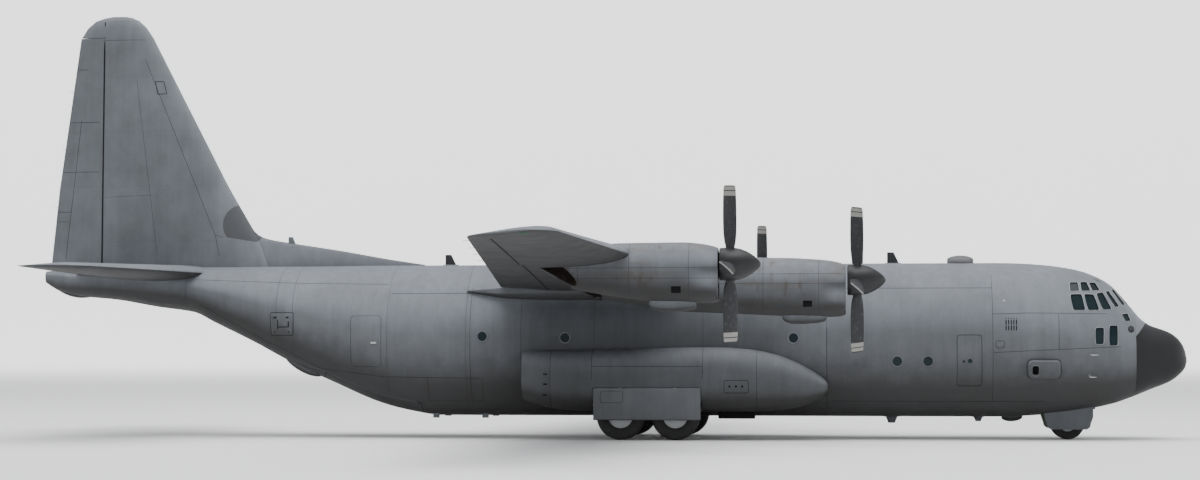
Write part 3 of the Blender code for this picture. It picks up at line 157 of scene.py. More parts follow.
def hull_point(x, z, sign=-1, out=0.0):
    """A point on the skin, and its outward normal."""
    y = hull_y(x, z)
    step = 0.02
    along = Vector((2 * step, sign * (hull_y(x + step, z) - hull_y(x - step, z)), 0))
    up = Vector((0, sign * (hull_y(x, z + step) - hull_y(x, z - step)), 2 * step))
    normal = along.cross(up).normalized()
    if normal.y * sign < 0:
        normal.negate()
    return Vector((x, sign * y, z)) + normal * out, normal


def spread(low, high, pitch):
    count = max(2, int(round(abs(high - low) / pitch)) + 1)
    return [float(value) for value in np.linspace(low, high, count)]


def nose_spread(low, high):
    """Stations that crowd together towards the nose tip."""
    count = 26
    return [low + (high - low) * sin(pi / 2 * k / (count - 1)) for k in range(count)]


def mesh_object(name, points, faces, materials, body=BODY, smooth_angle=35, face_slots=None):
    """Make a piece from full-size points; it rides on a body."""
    mesh = bpy.data.meshes.new(name)
    mesh.from_pydata([tuple(SCALE * value for value in point) for point in points], [], faces)
    mesh.update()
    item = bpy.data.objects.new(name, mesh)
    bpy.context.scene.collection.objects.link(item)
    for material in materials if isinstance(materials, (list, tuple)) else [materials]:
        mesh.materials.append(material)
    if face_slots is not None:
        mesh.polygons.foreach_set("material_index", face_slots)
    work = bmesh.new()
    work.from_mesh(mesh)
    bmesh.ops.recalc_face_normals(work, faces=work.faces)
    work.to_mesh(mesh)
    work.free()
    soften(mesh, smooth_angle)
    if body:
        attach(item, body)
    return item


def soften(mesh, angle=35):
    mesh.shade_smooth()
    mesh.set_sharp_from_angle(angle=radians(angle))


def loft_faces(rings, closed=False, capped=True):
    """Points and faces through rings of equally many points."""
    count = len(rings[0])
    points = [point for ring in rings for point in ring]
    faces = []
    pairs = [(k, k + 1) for k in range(len(rings) - 1)]
    if closed:
        pairs.append((len(rings) - 1, 0))
    for near, far in pairs:
        for k in range(count):
            after = (k + 1) % count
            faces.append((near * count + k, near * count + after, far * count + after, far * count + k))
    if capped and not closed:
        faces.append(tuple(reversed(range(count))))
        faces.append(tuple(range((len(rings) - 1) * count, len(rings) * count)))
    return points, faces


def loft(name, rings, materials, closed=False, capped=True, **options):
    points, faces = loft_faces(rings, closed, capped)
    return mesh_object(name, points, faces, materials, **options)


def box_points(low, high):
    points = [(x, y, z) for x in (low[0], high[0]) for y in (low[1], high[1]) for z in (low[2], high[2])]
    faces = [(0, 1, 3, 2), (4, 6, 7, 5), (0, 4, 5, 1), (2, 3, 7, 6), (0, 2, 6, 4), (1, 5, 7, 3)]
    return points, faces


def box(name, low, high, materials=(), bevel=0.0, **options):
    item = mesh_object(name, *box_points(low, high), list(materials) if materials else [], **options)
    if bevel:
        round_edges(item, bevel)
    return item


def round_edges(item, width, segments=3, angle=40):
    step = item.modifiers.new("rounded", "BEVEL")
    step.width = width * SCALE
    step.segments = segments
    step.limit_method = "ANGLE"
    step.angle_limit = radians(angle)
    step.harden_normals = True
    return item


def cutter(points, faces, material=None):
    """A body used only to shape another one; a material covers the faces that it leaves there."""
    return mesh_object("cutter", points, faces, [material] if material else [], body=None)


def carving_step(item, operation):
    step = item.modifiers.new("carve", "BOOLEAN")
    step.operation = operation
    step.solver = "EXACT"
    step.material_mode = "TRANSFER"
    return step


def apply_carving(item, cutters, angle):
    """Keep what a carving step leaves as the piece's mesh, and drop the cutters."""
    graph = bpy.context.evaluated_depsgraph_get()
    graph.update()
    mesh = bpy.data.meshes.new_from_object(item.evaluated_get(graph))
    item.modifiers.clear()
    item.data = mesh
    soften(mesh, angle)
    for tool in cutters:
        bpy.data.objects.remove(tool, do_unlink=True)


def keep_inside(item, tool):
    """Keep what lies inside a cutter."""
    carving_step(item, "INTERSECT").object = tool
    apply_carving(item, [tool], 35)


def carve_all(item, cutters, angle=35):
    """Cut many bodies out of a piece in one step."""
    group = bpy.data.collections.new("cutters")
    for tool in cutters:
        group.objects.link(tool)
    step = carving_step(item, "DIFFERENCE")
    step.operand_type = "COLLECTION"
    step.collection = group
    apply_carving(item, cutters, angle)
    bpy.data.collections.remove(group)


def join(points, faces, body):
    """Add a body's points and faces to those of a piece made of several."""
    some, sides = body
    faces.extend(tuple(len(points) + k for k in side) for side in sides)
    points.extend(some)


def slab(outline, low_y, high_y):
    """A body that fills an outline of (x, z) between two sides; a side may be a function of x."""
    sides = []
    for side in (low_y, high_y):
        sides.append([(x, side(x) if callable(side) else side, z) for x, z in outline])
    return loft_faces(sides)


def rod_rings(start, end, radius, end_radius=None, sides=16):
    """The rings at both ends of a rod or cone between two points."""
    start, end = Vector(start), Vector(end)
    along = (end - start).normalized()
    side = along.orthogonal().normalized()
    other = along.cross(side)
    rings = []
    for place, reach in ((start, radius), (end, radius if end_radius is None else end_radius)):
        rings.append([tuple(place + reach * (c * side + s * other)) for c, s in circle(sides)])
    return rings


def tube_between(name, start, end, radius, material, body=BODY, sides=16, end_radius=None):
    """A rod or cone between two points."""
    return loft(name, rod_rings(start, end, radius, end_radius, sides), material, body=body)


def line_tube(name, points, radius, material, body=BODY, cyclic=False):
    """A thin rounded strip along points."""
    curve = bpy.data.curves.new(name, "CURVE")
    curve.dimensions = "3D"
    spline = curve.splines.new("POLY")
    spline.points.add(len(points) - 1)
    for place, point in zip(spline.points, points):
        place.co = (*[SCALE * value for value in point], 1)
    spline.use_cyclic_u = cyclic
    curve.bevel_depth = radius * SCALE
    curve.bevel_resolution = 2
    curve.use_fill_caps = True
    curve.materials.append(material)
    item = bpy.data.objects.new(name, curve)
    bpy.context.scene.collection.objects.link(item)
    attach(item, body)
    return item


class Nodes:
    """A short hand for building a material's nodes."""

    def __init__(self, name):
        self.material = bpy.data.materials.new(name)
        self.material.use_nodes = True
        self.tree = self.material.node_tree
        self.shader = self.tree.nodes["Principled BSDF"]
        coordinates = self.tree.nodes.new("ShaderNodeTexCoord")
        self.place = self.scaled(coordinates.outputs["Object"], (1 / SCALE,) * 3)
        self.normal = coordinates.outputs["Normal"]

    def add(self, kind, **values):
        node = self.tree.nodes.new(kind)
        for key, value in values.items():
            setattr(node, key, value)
        return node

    def link(self, start, end):
        self.tree.links.new(start, end)

    def scaled(self, vector, factors):
        node = self.add("ShaderNodeVectorMath", operation="MULTIPLY")
        self.link(vector, node.inputs[0])
        node.inputs[1].default_value = factors
        return node.outputs[0]

    def math(self, operation, first, second=None, third=None, clamp=False):
        node = self.add("ShaderNodeMath", operation=operation)
        node.use_clamp = clamp
        for socket, value in zip(node.inputs, (first, second, third)):
            if value is None:
                continue
            if isinstance(value, (int, float)):
                socket.default_value = value
            else:
                self.link(value, socket)
        return node.outputs[0]

    def times(self, first, second):
        return self.math("MULTIPLY", first, second)

    def minus(self, first, second):
        return self.math("SUBTRACT", first, second)

    def highest(self, values):
        result = values[0]
        for value in values[1:]:
            result = self.math("MAXIMUM", result, value)
        return result

    def axes(self):
        node = self.add("ShaderNodeSeparateXYZ")
        self.link(self.place, node.inputs[0])
        return node.outputs[0], node.outputs[1], node.outputs[2]

    def normal_z(self):
        split = self.add("ShaderNodeSeparateXYZ")
        self.link(self.normal, split.inputs[0])
        return split.outputs[2]

    def noise(self, factors, scale, detail=4.0, rough=0.55):
        node = self.add("ShaderNodeTexNoise")
        self.link(self.scaled(self.place, factors), node.inputs["Vector"])
        node.inputs["Scale"].default_value = scale
        node.inputs["Detail"].default_value = detail
        node.inputs["Roughness"].default_value = rough
        return node.outputs["Fac"]

    def remap(self, value, low, high, to_low=0.0, to_high=1.0, smooth_step=False):
        node = self.add("ShaderNodeMapRange")
        node.interpolation_type = "SMOOTHSTEP" if smooth_step else "LINEAR"
        self.link(value, node.inputs["Value"])
        for key, number in (("From Min", low), ("From Max", high), ("To Min", to_low), ("To Max", to_high)):
            node.inputs[key].default_value = number
        return node.outputs["Result"]

    def mix(self, share, first, second, blend="MIX"):
        node = self.add("ShaderNodeMix", data_type="RGBA", blend_type=blend)
        for socket, value in ((node.inputs[0], share), (node.inputs[6], first), (node.inputs[7], second)):
            if isinstance(value, (int, float)):
                socket.default_value = value
            elif isinstance(value, tuple):
                socket.default_value = (*value, 1.0)
            else:
                self.link(value, socket)
        return node.outputs[2]

    def ranged(self, noise, low, high):
        """Draw out a noise's usual range so that it runs from low to high."""
        return self.remap(noise, NOISE_LOW, NOISE_HIGH, low, high)

    def dimmed(self, tone, colour):
        """A colour times a tone; the tone of a whole paint stays below 1, so the colour is lifted."""
        return self.mix(tone, (0, 0, 0), tuple(TONE_LIFT * value for value in colour))

    def gloss(self, level):
        self.shader.inputs["Specular IOR Level"].default_value = level

    def band(self, value, middle, half_width, fade=0.004):
        """1 where a coordinate lies within half_width of middle."""
        away = self.math("ABSOLUTE", self.minus(value, middle))
        return self.remap(away, half_width, half_width + fade, 1.0, 0.0)

    def repeated(self, value, pitch, half_width, fade=0.006):
        """1 on thin lines that repeat along a coordinate."""
        cell = self.math("FRACT", self.math("DIVIDE", self.math("ADD", value, 1000 * pitch), pitch))
        away = self.times(self.math("ABSOLUTE", self.minus(cell, 0.5)), pitch)
        return self.remap(away, half_width, half_width + fade, 1.0, 0.0)

    def finish(self, colour, roughness, height=None, distance=0.004, metallic=0.0):
        self.link(colour, self.shader.inputs["Base Color"])
        if isinstance(roughness, (int, float)):
            self.shader.inputs["Roughness"].default_value = roughness
        else:
            self.link(roughness, self.shader.inputs["Roughness"])
        self.shader.inputs["Metallic"].default_value = metallic
        if height is not None:
            bump = self.add("ShaderNodeBump")
            bump.inputs["Strength"].default_value = 0.5
            bump.inputs["Distance"].default_value = distance
            self.link(height, bump.inputs["Height"])
            self.link(bump.outputs[0], self.shader.inputs["Normal"])
        return self.material


# paints: the shares of red, green and blue light that they return
PAINT = (0.172, 0.186, 0.206)
# painted shade: the colour that faces which point down are darkened towards
PAINTED_UNDERSIDE_SHADE = (0.027, 0.026, 0.025)
SEAM_DIRT = (0.022, 0.022, 0.023)
PATCH_PAINT = (0.088, 0.092, 0.099)
HEAT_SPOTS = (0.10, 0.062, 0.038)
RADOME_PAINT = (0.016, 0.017, 0.0185)
# painted shade on the radome's faces that point down
RADOME_PAINTED_SHADE = (0.012, 0.012, 0.012)
SPINNER_PAINT = (0.015, 0.0155, 0.017)
BLADE_PAINT = (0.026, 0.027, 0.030)
TIP_PAINT = (0.255, 0.248, 0.228)
GLASS_TINT = (0.004, 0.009, 0.011)
GLASS_HAZE = (0.010, 0.022, 0.026)
PAINT_GLOSS, GLASS_GLOSS = 0.20, 0.16
# the usual range of a noise, the tone of clouded paint over it, and the lift of the colour under it
NOISE_LOW, NOISE_HIGH = 0.3, 0.7
CLOUD_TONE = (0.69, 0.90)
TONE_LIFT = 1.25
# drawn seams: x of the fuselage's frames, x and z of those of the nacelles, and their half width
HULL_FRAME_X = (-12.54, -9.64, -9.13, -3.83, -2.17, 0.02, 3.24, 6.87)
NACELLE_SEAM_X = (6.70, 5.15, 3.44, 1.89, 0.55)
NACELLE_SEAM_Z = (4.50, 4.77)
SEAM_HALF = 0.006
# faint seams that repeat: pitch and half width
HULL_SHEETS = (0.86, 0.003)
WING_RIBS, WING_SHEETS = (1.46, 0.005), (0.93, 0.004)
FIN_RIBS = (1.72, 0.004)
# the sheets that differ a little in tone: length and height
SHEET_LENGTH, SHEET_HEIGHT = 1.72, 1.1
# rise of a face's normal at which the painted shade on faces that point down is full, and at which it is
# gone
SHADE_FROM, SHADE_TO = -0.52, 0.45
# the worn patch where the fin's front edge meets the dorsal fin: middle, radius, lower edge and its slope
PATCH_AT, PATCH_RADIUS, PATCH_LOW = (-11.10, 6.52), 0.64, (6.03, -0.16)
PATCH_FADE = 0.02
# painted shadow of the wing on the fuselage's side under it: the x and z between which it fades, and its
# strength
WING_SHADOW_X, WING_SHADOW_Z, WING_SHADOW_STRENGTH = (-3.6, -1.4, 4.6, 6.9), (3.85, 4.35), 0.46
# the radome's joint stands upright up to a height, and above it slants forward
RADOME_JOINT_X, RADOME_JOINT_Z, RADOME_SLANT = 15.70, 2.86, 0.92


def painted_wing_shadow(nodes, x, z):
    """A factor below 1 on the fuselage's side under the wing: the wing's painted shadow."""
    aft = nodes.remap(x, WING_SHADOW_X[0], WING_SHADOW_X[1], 0.0, 1.0, True)
    fore = nodes.remap(x, WING_SHADOW_X[2], WING_SHADOW_X[3], 1.0, 0.0, True)
    low = nodes.remap(z, WING_SHADOW_Z[0], WING_SHADOW_Z[1], 1.0, 0.0, True)
    return nodes.minus(1.0, nodes.times(nodes.times(aft, fore), nodes.times(low, WING_SHADOW_STRENGTH)))


def fillet_patch(nodes, x, z):
    """1 on the darker patch at the fin's foot."""
    across = nodes.minus(x, PATCH_AT[0])
    up = nodes.minus(z, PATCH_AT[1])
    far = nodes.math("SQRT", nodes.math("ADD", nodes.times(across, across), nodes.times(up, up)))
    inside = nodes.remap(far, PATCH_RADIUS, PATCH_RADIUS + PATCH_FADE, 1.0, 0.0)
    edge = nodes.math("ADD", nodes.times(across, PATCH_LOW[1]), PATCH_LOW[0])
    return nodes.times(inside, nodes.remap(nodes.minus(z, edge), 0.0, PATCH_FADE, 0.0, 1.0))


def sheet_tone(nodes, x, z):
    """A slightly different tone on each sheet of the fuselage's skin."""
    cell = nodes.add("ShaderNodeCombineXYZ")
    nodes.link(nodes.math("FLOOR", nodes.math("DIVIDE", x, SHEET_LENGTH)), cell.inputs[0])
    nodes.link(nodes.math("FLOOR", nodes.math("DIVIDE", z, SHEET_HEIGHT)), cell.inputs[1])
    shade = nodes.add("ShaderNodeTexWhiteNoise")
    nodes.link(cell.outputs[0], shade.inputs["Vector"])
    return nodes.remap(shade.outputs["Value"], 0, 1, 0.975, 1.025)


def drawn_seams(nodes, lines, x, y, z):
    """Thin lines between the sheets of a surface, or None."""
    if lines == "hull":
        frames = [nodes.band(x, place, SEAM_HALF) for place in HULL_FRAME_X]
        return nodes.highest(frames + [nodes.times(nodes.repeated(x, *HULL_SHEETS), 0.22)])
    if lines == "wing":
        sheets = nodes.times(nodes.repeated(x, *WING_SHEETS), 0.6)
        return nodes.highest([nodes.repeated(y, *WING_RIBS), sheets])
    if lines == "fin":
        return nodes.times(nodes.repeated(z, *FIN_RIBS), 0.25)
    if lines == "nacelle":
        return nodes.highest([nodes.band(x, place, SEAM_HALF) for place in NACELLE_SEAM_X]
                             + [nodes.band(z, height, SEAM_HALF) for height in NACELLE_SEAM_Z])
    return None


def cloud_tone(nodes):
    return nodes.ranged(nodes.noise((0.35, 0.35, 0.35), 1.0, detail=6.0), *CLOUD_TONE)


def paint_material(name, lines="none", colour=PAINT, rough=0.64, heat=None):
    """Weathered matt paint: cloudy tone, downward streaks, fine grain, the seams of the sheets, and painted
    shade on faces that point down.
    """
    nodes = Nodes(name)
    x, y, z = nodes.axes()
    streaks = nodes.noise((2.6, 2.6, 0.22), 1.6, detail=5.0, rough=0.62)
    grain = nodes.noise((1, 1, 1), 22.0, detail=3.0)
    tone = nodes.times(cloud_tone(nodes), nodes.remap(streaks, 0.28, 0.72, 0.90, 1.08))
    tone = nodes.times(tone, nodes.ranged(grain, 0.97, 1.03))
    if lines == "hull":
        tone = nodes.times(tone, sheet_tone(nodes, x, z))
        # painted shadow of the wing on the fuselage's side
        tone = nodes.times(tone, painted_wing_shadow(nodes, x, z))
    seams = drawn_seams(nodes, lines, x, y, z)
    base = nodes.dimmed(tone, colour)
    if lines == "fin":
        base = nodes.mix(fillet_patch(nodes, x, z), base, PATCH_PAINT)
    if heat:
        run = nodes.noise((0.5, 3.0, 2.4), 1.5, detail=6.0)
        base = nodes.mix(nodes.remap(run, 0.48, 0.70, 0.0, 0.55), base, heat)
        spots = nodes.noise((1.4, 1.4, 0.5), 3.4, detail=6.0)
        base = nodes.mix(nodes.remap(spots, 0.60, 0.72, 0.0, 0.55), base, HEAT_SPOTS)
    dirt_and_shade_noise = nodes.noise((0.7, 0.7, 0.7), 2.2, detail=7.0)
    # painted shade: faces that point down darken towards the underside colour, and the noise frays the edge
    under = nodes.math("ADD", nodes.normal_z(), nodes.ranged(dirt_and_shade_noise, -0.06, 0.06))
    base = nodes.mix(nodes.remap(under, SHADE_FROM, SHADE_TO, 0.92, 0.0, True), base, PAINTED_UNDERSIDE_SHADE)
    height = nodes.times(grain, 0.25)
    if seams is not None:
        worn = nodes.times(seams, nodes.ranged(dirt_and_shade_noise, 0.55, 1.0))
        base = nodes.mix(nodes.times(worn, 0.70), base, SEAM_DIRT)
        height = nodes.minus(height, seams)
    nodes.gloss(PAINT_GLOSS)
    return nodes.finish(base, nodes.ranged(dirt_and_shade_noise, rough - 0.06, rough + 0.08), height, distance=0.002)


def plain_material(name, colour, rough, metallic=0.0, variation=0.12, scale=6.0, bump=0.3, grime=None,
                   gloss=0.5):
    nodes = Nodes(name)
    nodes.gloss(gloss)
    cloud = nodes.noise((1, 1, 1), scale, detail=6.0)
    base = nodes.mix(nodes.ranged(cloud, 1 - variation, 1 + variation), (0, 0, 0), colour)
    if grime:
        spots = nodes.noise((1, 1, 1), scale * 2.3, detail=7.0)
        base = nodes.mix(nodes.remap(spots, 0.55, 0.75, 0.0, 0.5), base, grime)
    fine = nodes.noise((1, 1, 1), scale * 9, detail=3.0)
    roughness = nodes.ranged(cloud, rough - 0.05, rough + 0.08)
    return nodes.finish(base, roughness, nodes.times(fine, bump), 0.002, metallic)


def glass_material():
    nodes = Nodes("dark_window_glass")
    tint = nodes.noise((1, 1, 1), 1.4, detail=4.0)
    base = nodes.mix(nodes.ranged(tint, 0.0, 1.0), GLASS_TINT, GLASS_HAZE)
    smudge = nodes.noise((1, 1, 1), 5.0, detail=5.0)
    nodes.gloss(GLASS_GLOSS)
    return nodes.finish(base, nodes.remap(smudge, 0.4, 0.8, 0.05, 0.16))


def radome_material():
    """Dark radome coating, the fuselage's paint above its slanted joint, a seam between them, and painted
    shade on faces that point down.
    """
    nodes = Nodes("radome_paint")
    x, _, z = nodes.axes()
    cloud = nodes.noise((1, 1, 1), 1.4, detail=6.0)
    coat = nodes.dimmed(nodes.ranged(cloud, 0.72, 0.90), RADOME_PAINT)
    paint = nodes.dimmed(cloud_tone(nodes), PAINT)
    above = nodes.math("MAXIMUM", nodes.minus(z, RADOME_JOINT_Z), 0.0)
    ahead = nodes.minus(nodes.minus(x, RADOME_JOINT_X), nodes.times(above, RADOME_SLANT))
    both = nodes.mix(nodes.remap(ahead, -0.002, 0.002), paint, coat)
    # painted shade: the radome's faces that point down are darkened
    under = nodes.remap(nodes.normal_z(), SHADE_FROM, SHADE_TO, 0.6, 0.0, True)
    both = nodes.mix(under, both, RADOME_PAINTED_SHADE)
    both = nodes.mix(nodes.band(ahead, 0.0, 0.007), both, SEAM_DIRT)
    fine = nodes.noise((1, 1, 1), 13.0, detail=3.0)
    nodes.gloss(PAINT_GLOSS)
    return nodes.finish(both, nodes.ranged(cloud, 0.50, 0.64), nodes.times(fine, 0.12), 0.002)


HULL_PAINT = paint_material("hull_paint", "hull")
WING_PAINT = paint_material("wing_paint", "wing")
FIN_PAINT = paint_material("fin_paint", "fin")
NACELLE_PAINT = paint_material("nacelle_paint", "nacelle", heat=(0.135, 0.11, 0.09))
BARE_PAINT = paint_material("fairing_paint")
LIGHT_PAINT = paint_material("frame_paint", colour=(0.36, 0.37, 0.38))
# the fuselage's grey made darker on the sponsons: painted shade under the wing
SPONSON_SHADED_PAINT = paint_material("sponson_shaded_paint", colour=(0.116, 0.124, 0.135))
DOOR_PAINT = paint_material("gear_door_paint", colour=(0.158, 0.167, 0.180))
NOSE_PAINT = radome_material()
SPIN_PAINT = plain_material("spinner_paint", SPINNER_PAINT, 0.42, variation=0.15, scale=3.0, bump=0.1,
                            gloss=0.35)
BLADE_COAT = plain_material("blade_paint", BLADE_PAINT, 0.50, scale=4.0, bump=0.15, gloss=0.25,
                            grime=(0.10, 0.10, 0.10))
TIP_COAT = plain_material("blade_tip_paint", TIP_PAINT, 0.5, variation=0.08, scale=5.0, bump=0.1)
GLASS = glass_material()
RUBBER = plain_material("tyre_rubber_worn", (0.022, 0.022, 0.022), 0.82, variation=0.2, scale=7.0, bump=0.6,
                        grime=(0.07, 0.065, 0.06))
STEEL = plain_material("gear_steel", (0.42, 0.43, 0.44), 0.34, metallic=1.0, variation=0.1)
GEAR_PAINT = plain_material("gear_paint", (0.40, 0.41, 0.42), 0.45, variation=0.1, scale=4.0)
SOOT = plain_material("exhaust_soot", (0.007, 0.0055, 0.005), 0.85, variation=0.3, scale=4.0, gloss=0.05,
                      grime=(0.06, 0.035, 0.02))
INSIDE = plain_material("inner_primer", (0.16, 0.19, 0.14), 0.7, variation=0.1, scale=3.0)
# near black: the colour of seam lines, the instrument panel and the pedestal, and painted shade on the walls
# of openings and recesses and on the plates that stand for slots
DARK = plain_material("dark_recess", (0.010, 0.010, 0.011), 0.80, variation=0.3, scale=5.0, gloss=0.1)
SEAT_CLOTH = plain_material("seat_cloth", (0.035, 0.04, 0.035), 0.9, variation=0.2, scale=9.0)
RED_GLASS = plain_material("red_lamp", (0.11, 0.012, 0.010), 0.2, variation=0.1)
GREEN_GLASS = plain_material("green_lamp", (0.012, 0.055, 0.030), 0.2, variation=0.1)
DOME_PAINT = plain_material("dome_paint", (0.095, 0.098, 0.104), 0.55, scale=4.0, bump=0.2)
CLEAR_LAMP = plain_material("clear_lamp", (0.55, 0.56, 0.56), 0.15, variation=0.05)


def shell(name, low, high, skin=VISIBLE_SKIN, pitch=0.32, outer=HULL_PAINT, body=BODY):
    """A stretch of the fuselage's skin, closed, painted outside and primed inside."""
    places = spread(low, high, pitch)
    rings = [hull_ring(x) for x in places] + [hull_ring(x, skin) for x in reversed(places)]
    points, faces = loft_faces(rings, closed=True)
    stretches = len(places)
    slots = []
    for stretch in range(2 * stretches):
        slots += [1 if stretches <= stretch < 2 * stretches - 1 else 0] * HULL_POINTS
    return mesh_object(name, points, faces, [outer, INSIDE], body=body, face_slots=slots)


def rounded_outline(low_x, high_x, low_z, high_z, radius, grow=0.0, steps=5):
    """A rectangle with round corners, as (x, z) points."""
    low_x, high_x, low_z, high_z = low_x - grow, high_x + grow, low_z - grow, high_z + grow
    points = []
    corners = ((high_x, high_z, 0), (low_x, high_z, 1), (low_x, low_z, 2), (high_x, low_z, 3))
    for x, z, turn in corners:
        centre_x = x - radius if x == high_x else x + radius
        centre_z = z - radius if z == high_z else z + radius
        for k in range(steps + 1):
            angle = pi / 2 * (turn + k / steps)
            points.append((centre_x + radius * cos(angle), centre_z + radius * sin(angle)))
    return points


def side_block(outline, sign, near=1.2, far=3.2):
    low, high = sorted((sign * near, sign * far))
    return cutter(*slab(outline, low, high))


def door_in_skin(hull, name, sizes, sign, radius, gap, body=BODY):
    """Cut a doorway in a stretch of skin and return the door that fills it."""
    low_x, high_x = sizes[:2]
    room = side_block(rounded_outline(*sizes, radius + gap, gap), sign)
    door = shell(name, low_x - 0.2, high_x + 0.2, VISIBLE_SKIN, 0.1, body=body)
    keep_inside(door, side_block(rounded_outline(*sizes, radius), sign))
    carve_all(hull, [room])
    return door


# panes beside the pilots: corners as (x, z) on the skin
SIDE_PANES = [
    ((13.945, 4.625), (14.205, 4.635), (14.235, 4.365), (13.945, 4.345)),
    ((14.27, 4.64), (14.48, 4.64), (14.57, 4.37), (14.28, 4.36)),
    ((14.53, 4.63), (14.74, 4.62), (14.86, 4.39), (14.61, 4.37)),
    ((13.93, 4.27), (14.29, 4.28), (14.38, 3.79), (14.00, 3.79)),
    ((14.34, 4.28), (14.65, 4.27), (14.80, 3.80), (14.44, 3.79)),
    ((14.71, 4.30), (14.93, 4.34), (15.17, 3.83), (14.88, 3.80)),
    ((15.00, 4.36), (15.12, 4.38), (15.41, 3.92), (15.26, 3.88)),
    ((15.21, 4.42), (15.30, 4.43), (15.63, 3.97), (15.49, 3.95)),
    ((14.63, 3.29), (14.90, 3.30), (14.88, 2.80), (14.63, 2.80)),
    ((15.05, 3.36), (15.31, 3.36), (15.30, 2.76), (15.03, 2.76)),
    ((15.44, 3.69), (15.65, 3.72), (15.74, 3.49), (15.56, 3.47)),
]
# front panes: corners as (y, z) on the skin
FRONT_PANES = [((0.035, 4.42), (0.47, 4.42), (0.63, 3.98), (0.035, 3.98))]
PANE_OUT, PANE_IN = 0.12, 0.13
GLASS_INSET, GLASS_THICK = 0.022, 0.012
# how far a pane's glass reaches behind its edge, as a share of the pane, and the radius of its frame
GLASS_LAP, FRAME_RADIUS = 0.05, 0.011


def front_x(y, z):
    """Where the skin of the nose stands at a given y and z."""
    low, high = 14.0, 16.6
    for _ in range(40):
        middle = (low + high) / 2
        if hull_y(middle, z) > y:
            low = middle
        else:
            high = middle
    return low


def pane_corners(number, sign):
    """A pane's corners on the skin, with the skin's normal at each."""
    if number < len(SIDE_PANES):
        places = SIDE_PANES[number]
    else:
        places = [(front_x(y, z), z) for y, z in FRONT_PANES[number - len(SIDE_PANES)]]
    return [hull_point(x, z, sign) for x, z in places]


def pane_point(corners, across, up):
    """A point inside a pane by its shares across and up, and its normal."""
    (a, na), (b, nb), (c, nc), (d, nd) = corners
    top, top_normal = a.lerp(b, across), na.lerp(nb, across)
    low, low_normal = d.lerp(c, across), nd.lerp(nc, across)
    return top.lerp(low, up), top_normal.lerp(low_normal, up).normalized()


def pane_outline(grow=0.0, steps=4, radius=0.16):
    """Shares across and up along a pane's edge, with its corners rounded."""
    shares = []
    reach = radius + grow
    for corner_x, corner_z, turn in ((1, 1, 0), (0, 1, 1), (0, 0, 2), (1, 0, 3)):
        middle_x = radius if corner_x == 0 else 1 - radius
        middle_z = radius if corner_z == 0 else 1 - radius
        for k in range(steps + 1):
            angle = pi / 2 * (turn + k / steps)
            shares.append((middle_x + reach * cos(angle), middle_z + reach * sin(angle)))
    return shares


def window_panes(hull):
    """Cut the cockpit's windows, glaze them and frame them."""
    tools = []
    points, faces = [], []
    for side, sign in SIDES:
        for number in range(len(SIDE_PANES) + len(FRONT_PANES)):
            corners = pane_corners(number, sign)
            _, normal = pane_point(corners, 0.5, 0.5)
            edge = [pane_point(corners, across, up) for across, up in pane_outline()]
            outer = [place + normal * PANE_OUT for place, _ in edge]
            inner = [place - normal * PANE_IN for place, _ in edge]
            tools.append(cutter(*loft_faces([outer, inner])))
            rim = [pane_point(corners, across, up) for across, up in pane_outline(GLASS_LAP)]
            depths = (GLASS_INSET, GLASS_INSET + GLASS_THICK)
            start, count = len(points), len(rim)
            for depth in depths:
                points += [place - facing * depth for place, facing in rim]
            faces.append(tuple(start + k for k in range(count)))
            faces.append(tuple(start + count + k for k in reversed(range(count))))
            for k in range(count):
                after = (k + 1) % count
                faces.append((start + k, start + after, start + count + after, start + count + k))
            frame_line = [place + facing * 0.001 for place, facing in edge]
            line_tube(f"window_frame_{side}_{number}", frame_line, FRAME_RADIUS, LIGHT_PAINT, cyclic=True)
    carve_all(hull, tools)
    glass = mesh_object("cockpit_windows", points, faces, GLASS)
    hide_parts("cockpit_glazing")


CREW_DOOR = (11.80, 12.56, 1.12, 2.62)
PARATROOP_DOOR = (-7.32, -6.40, 2.16, 3.66)
EMERGENCY_DOOR = (10.65, 11.36, 1.60, 3.08)
NOSE_BAY_X, NOSE_BAY_Y = (13.18, 14.72), 0.76
DOOR_GAP = 0.014


def forward_fuselage():
    places = spread(FORWARD_BREAK_X + SEAM / 2, 12.6, 0.36)[:-1] + spread(12.6, RADOME_X - SEAM / 2, 0.1)
    rings = [hull_ring(x) for x in places] + [hull_ring(x, VISIBLE_SKIN) for x in reversed(places)]
    points, faces = loft_faces(rings, closed=True)
    slots = [0] * (len(places) * HULL_POINTS) + [1] * (len(places) * HULL_POINTS)
    hull = mesh_object("forward_fuselage", points, faces, [HULL_PAINT, INSIDE], face_slots=slots)
    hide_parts("forward_fuselage")
    low_x, high_x = NOSE_BAY_X
    bay = cutter(*box_points((low_x, -NOSE_BAY_Y, 0.3), (high_x, NOSE_BAY_Y, 1.4)))
    carve_all(hull, [bay])
    crew = door_in_skin(hull, "crew_door", CREW_DOOR, 1, 0.09, DOOR_GAP, body="crew_door")
    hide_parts("crew_door")
    exit_door = door_in_skin(hull, "emergency_door", EMERGENCY_DOOR, -1, 0.09, 0.010)
    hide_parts("emergency_door")
    window_panes(hull)
    places = nose_spread(RADOME_X + SEAM / 2, NOSE_X)
    nose = loft("radome", [hull_ring(x) for x in places], NOSE_PAINT, smooth_angle=50)
    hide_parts("radome")


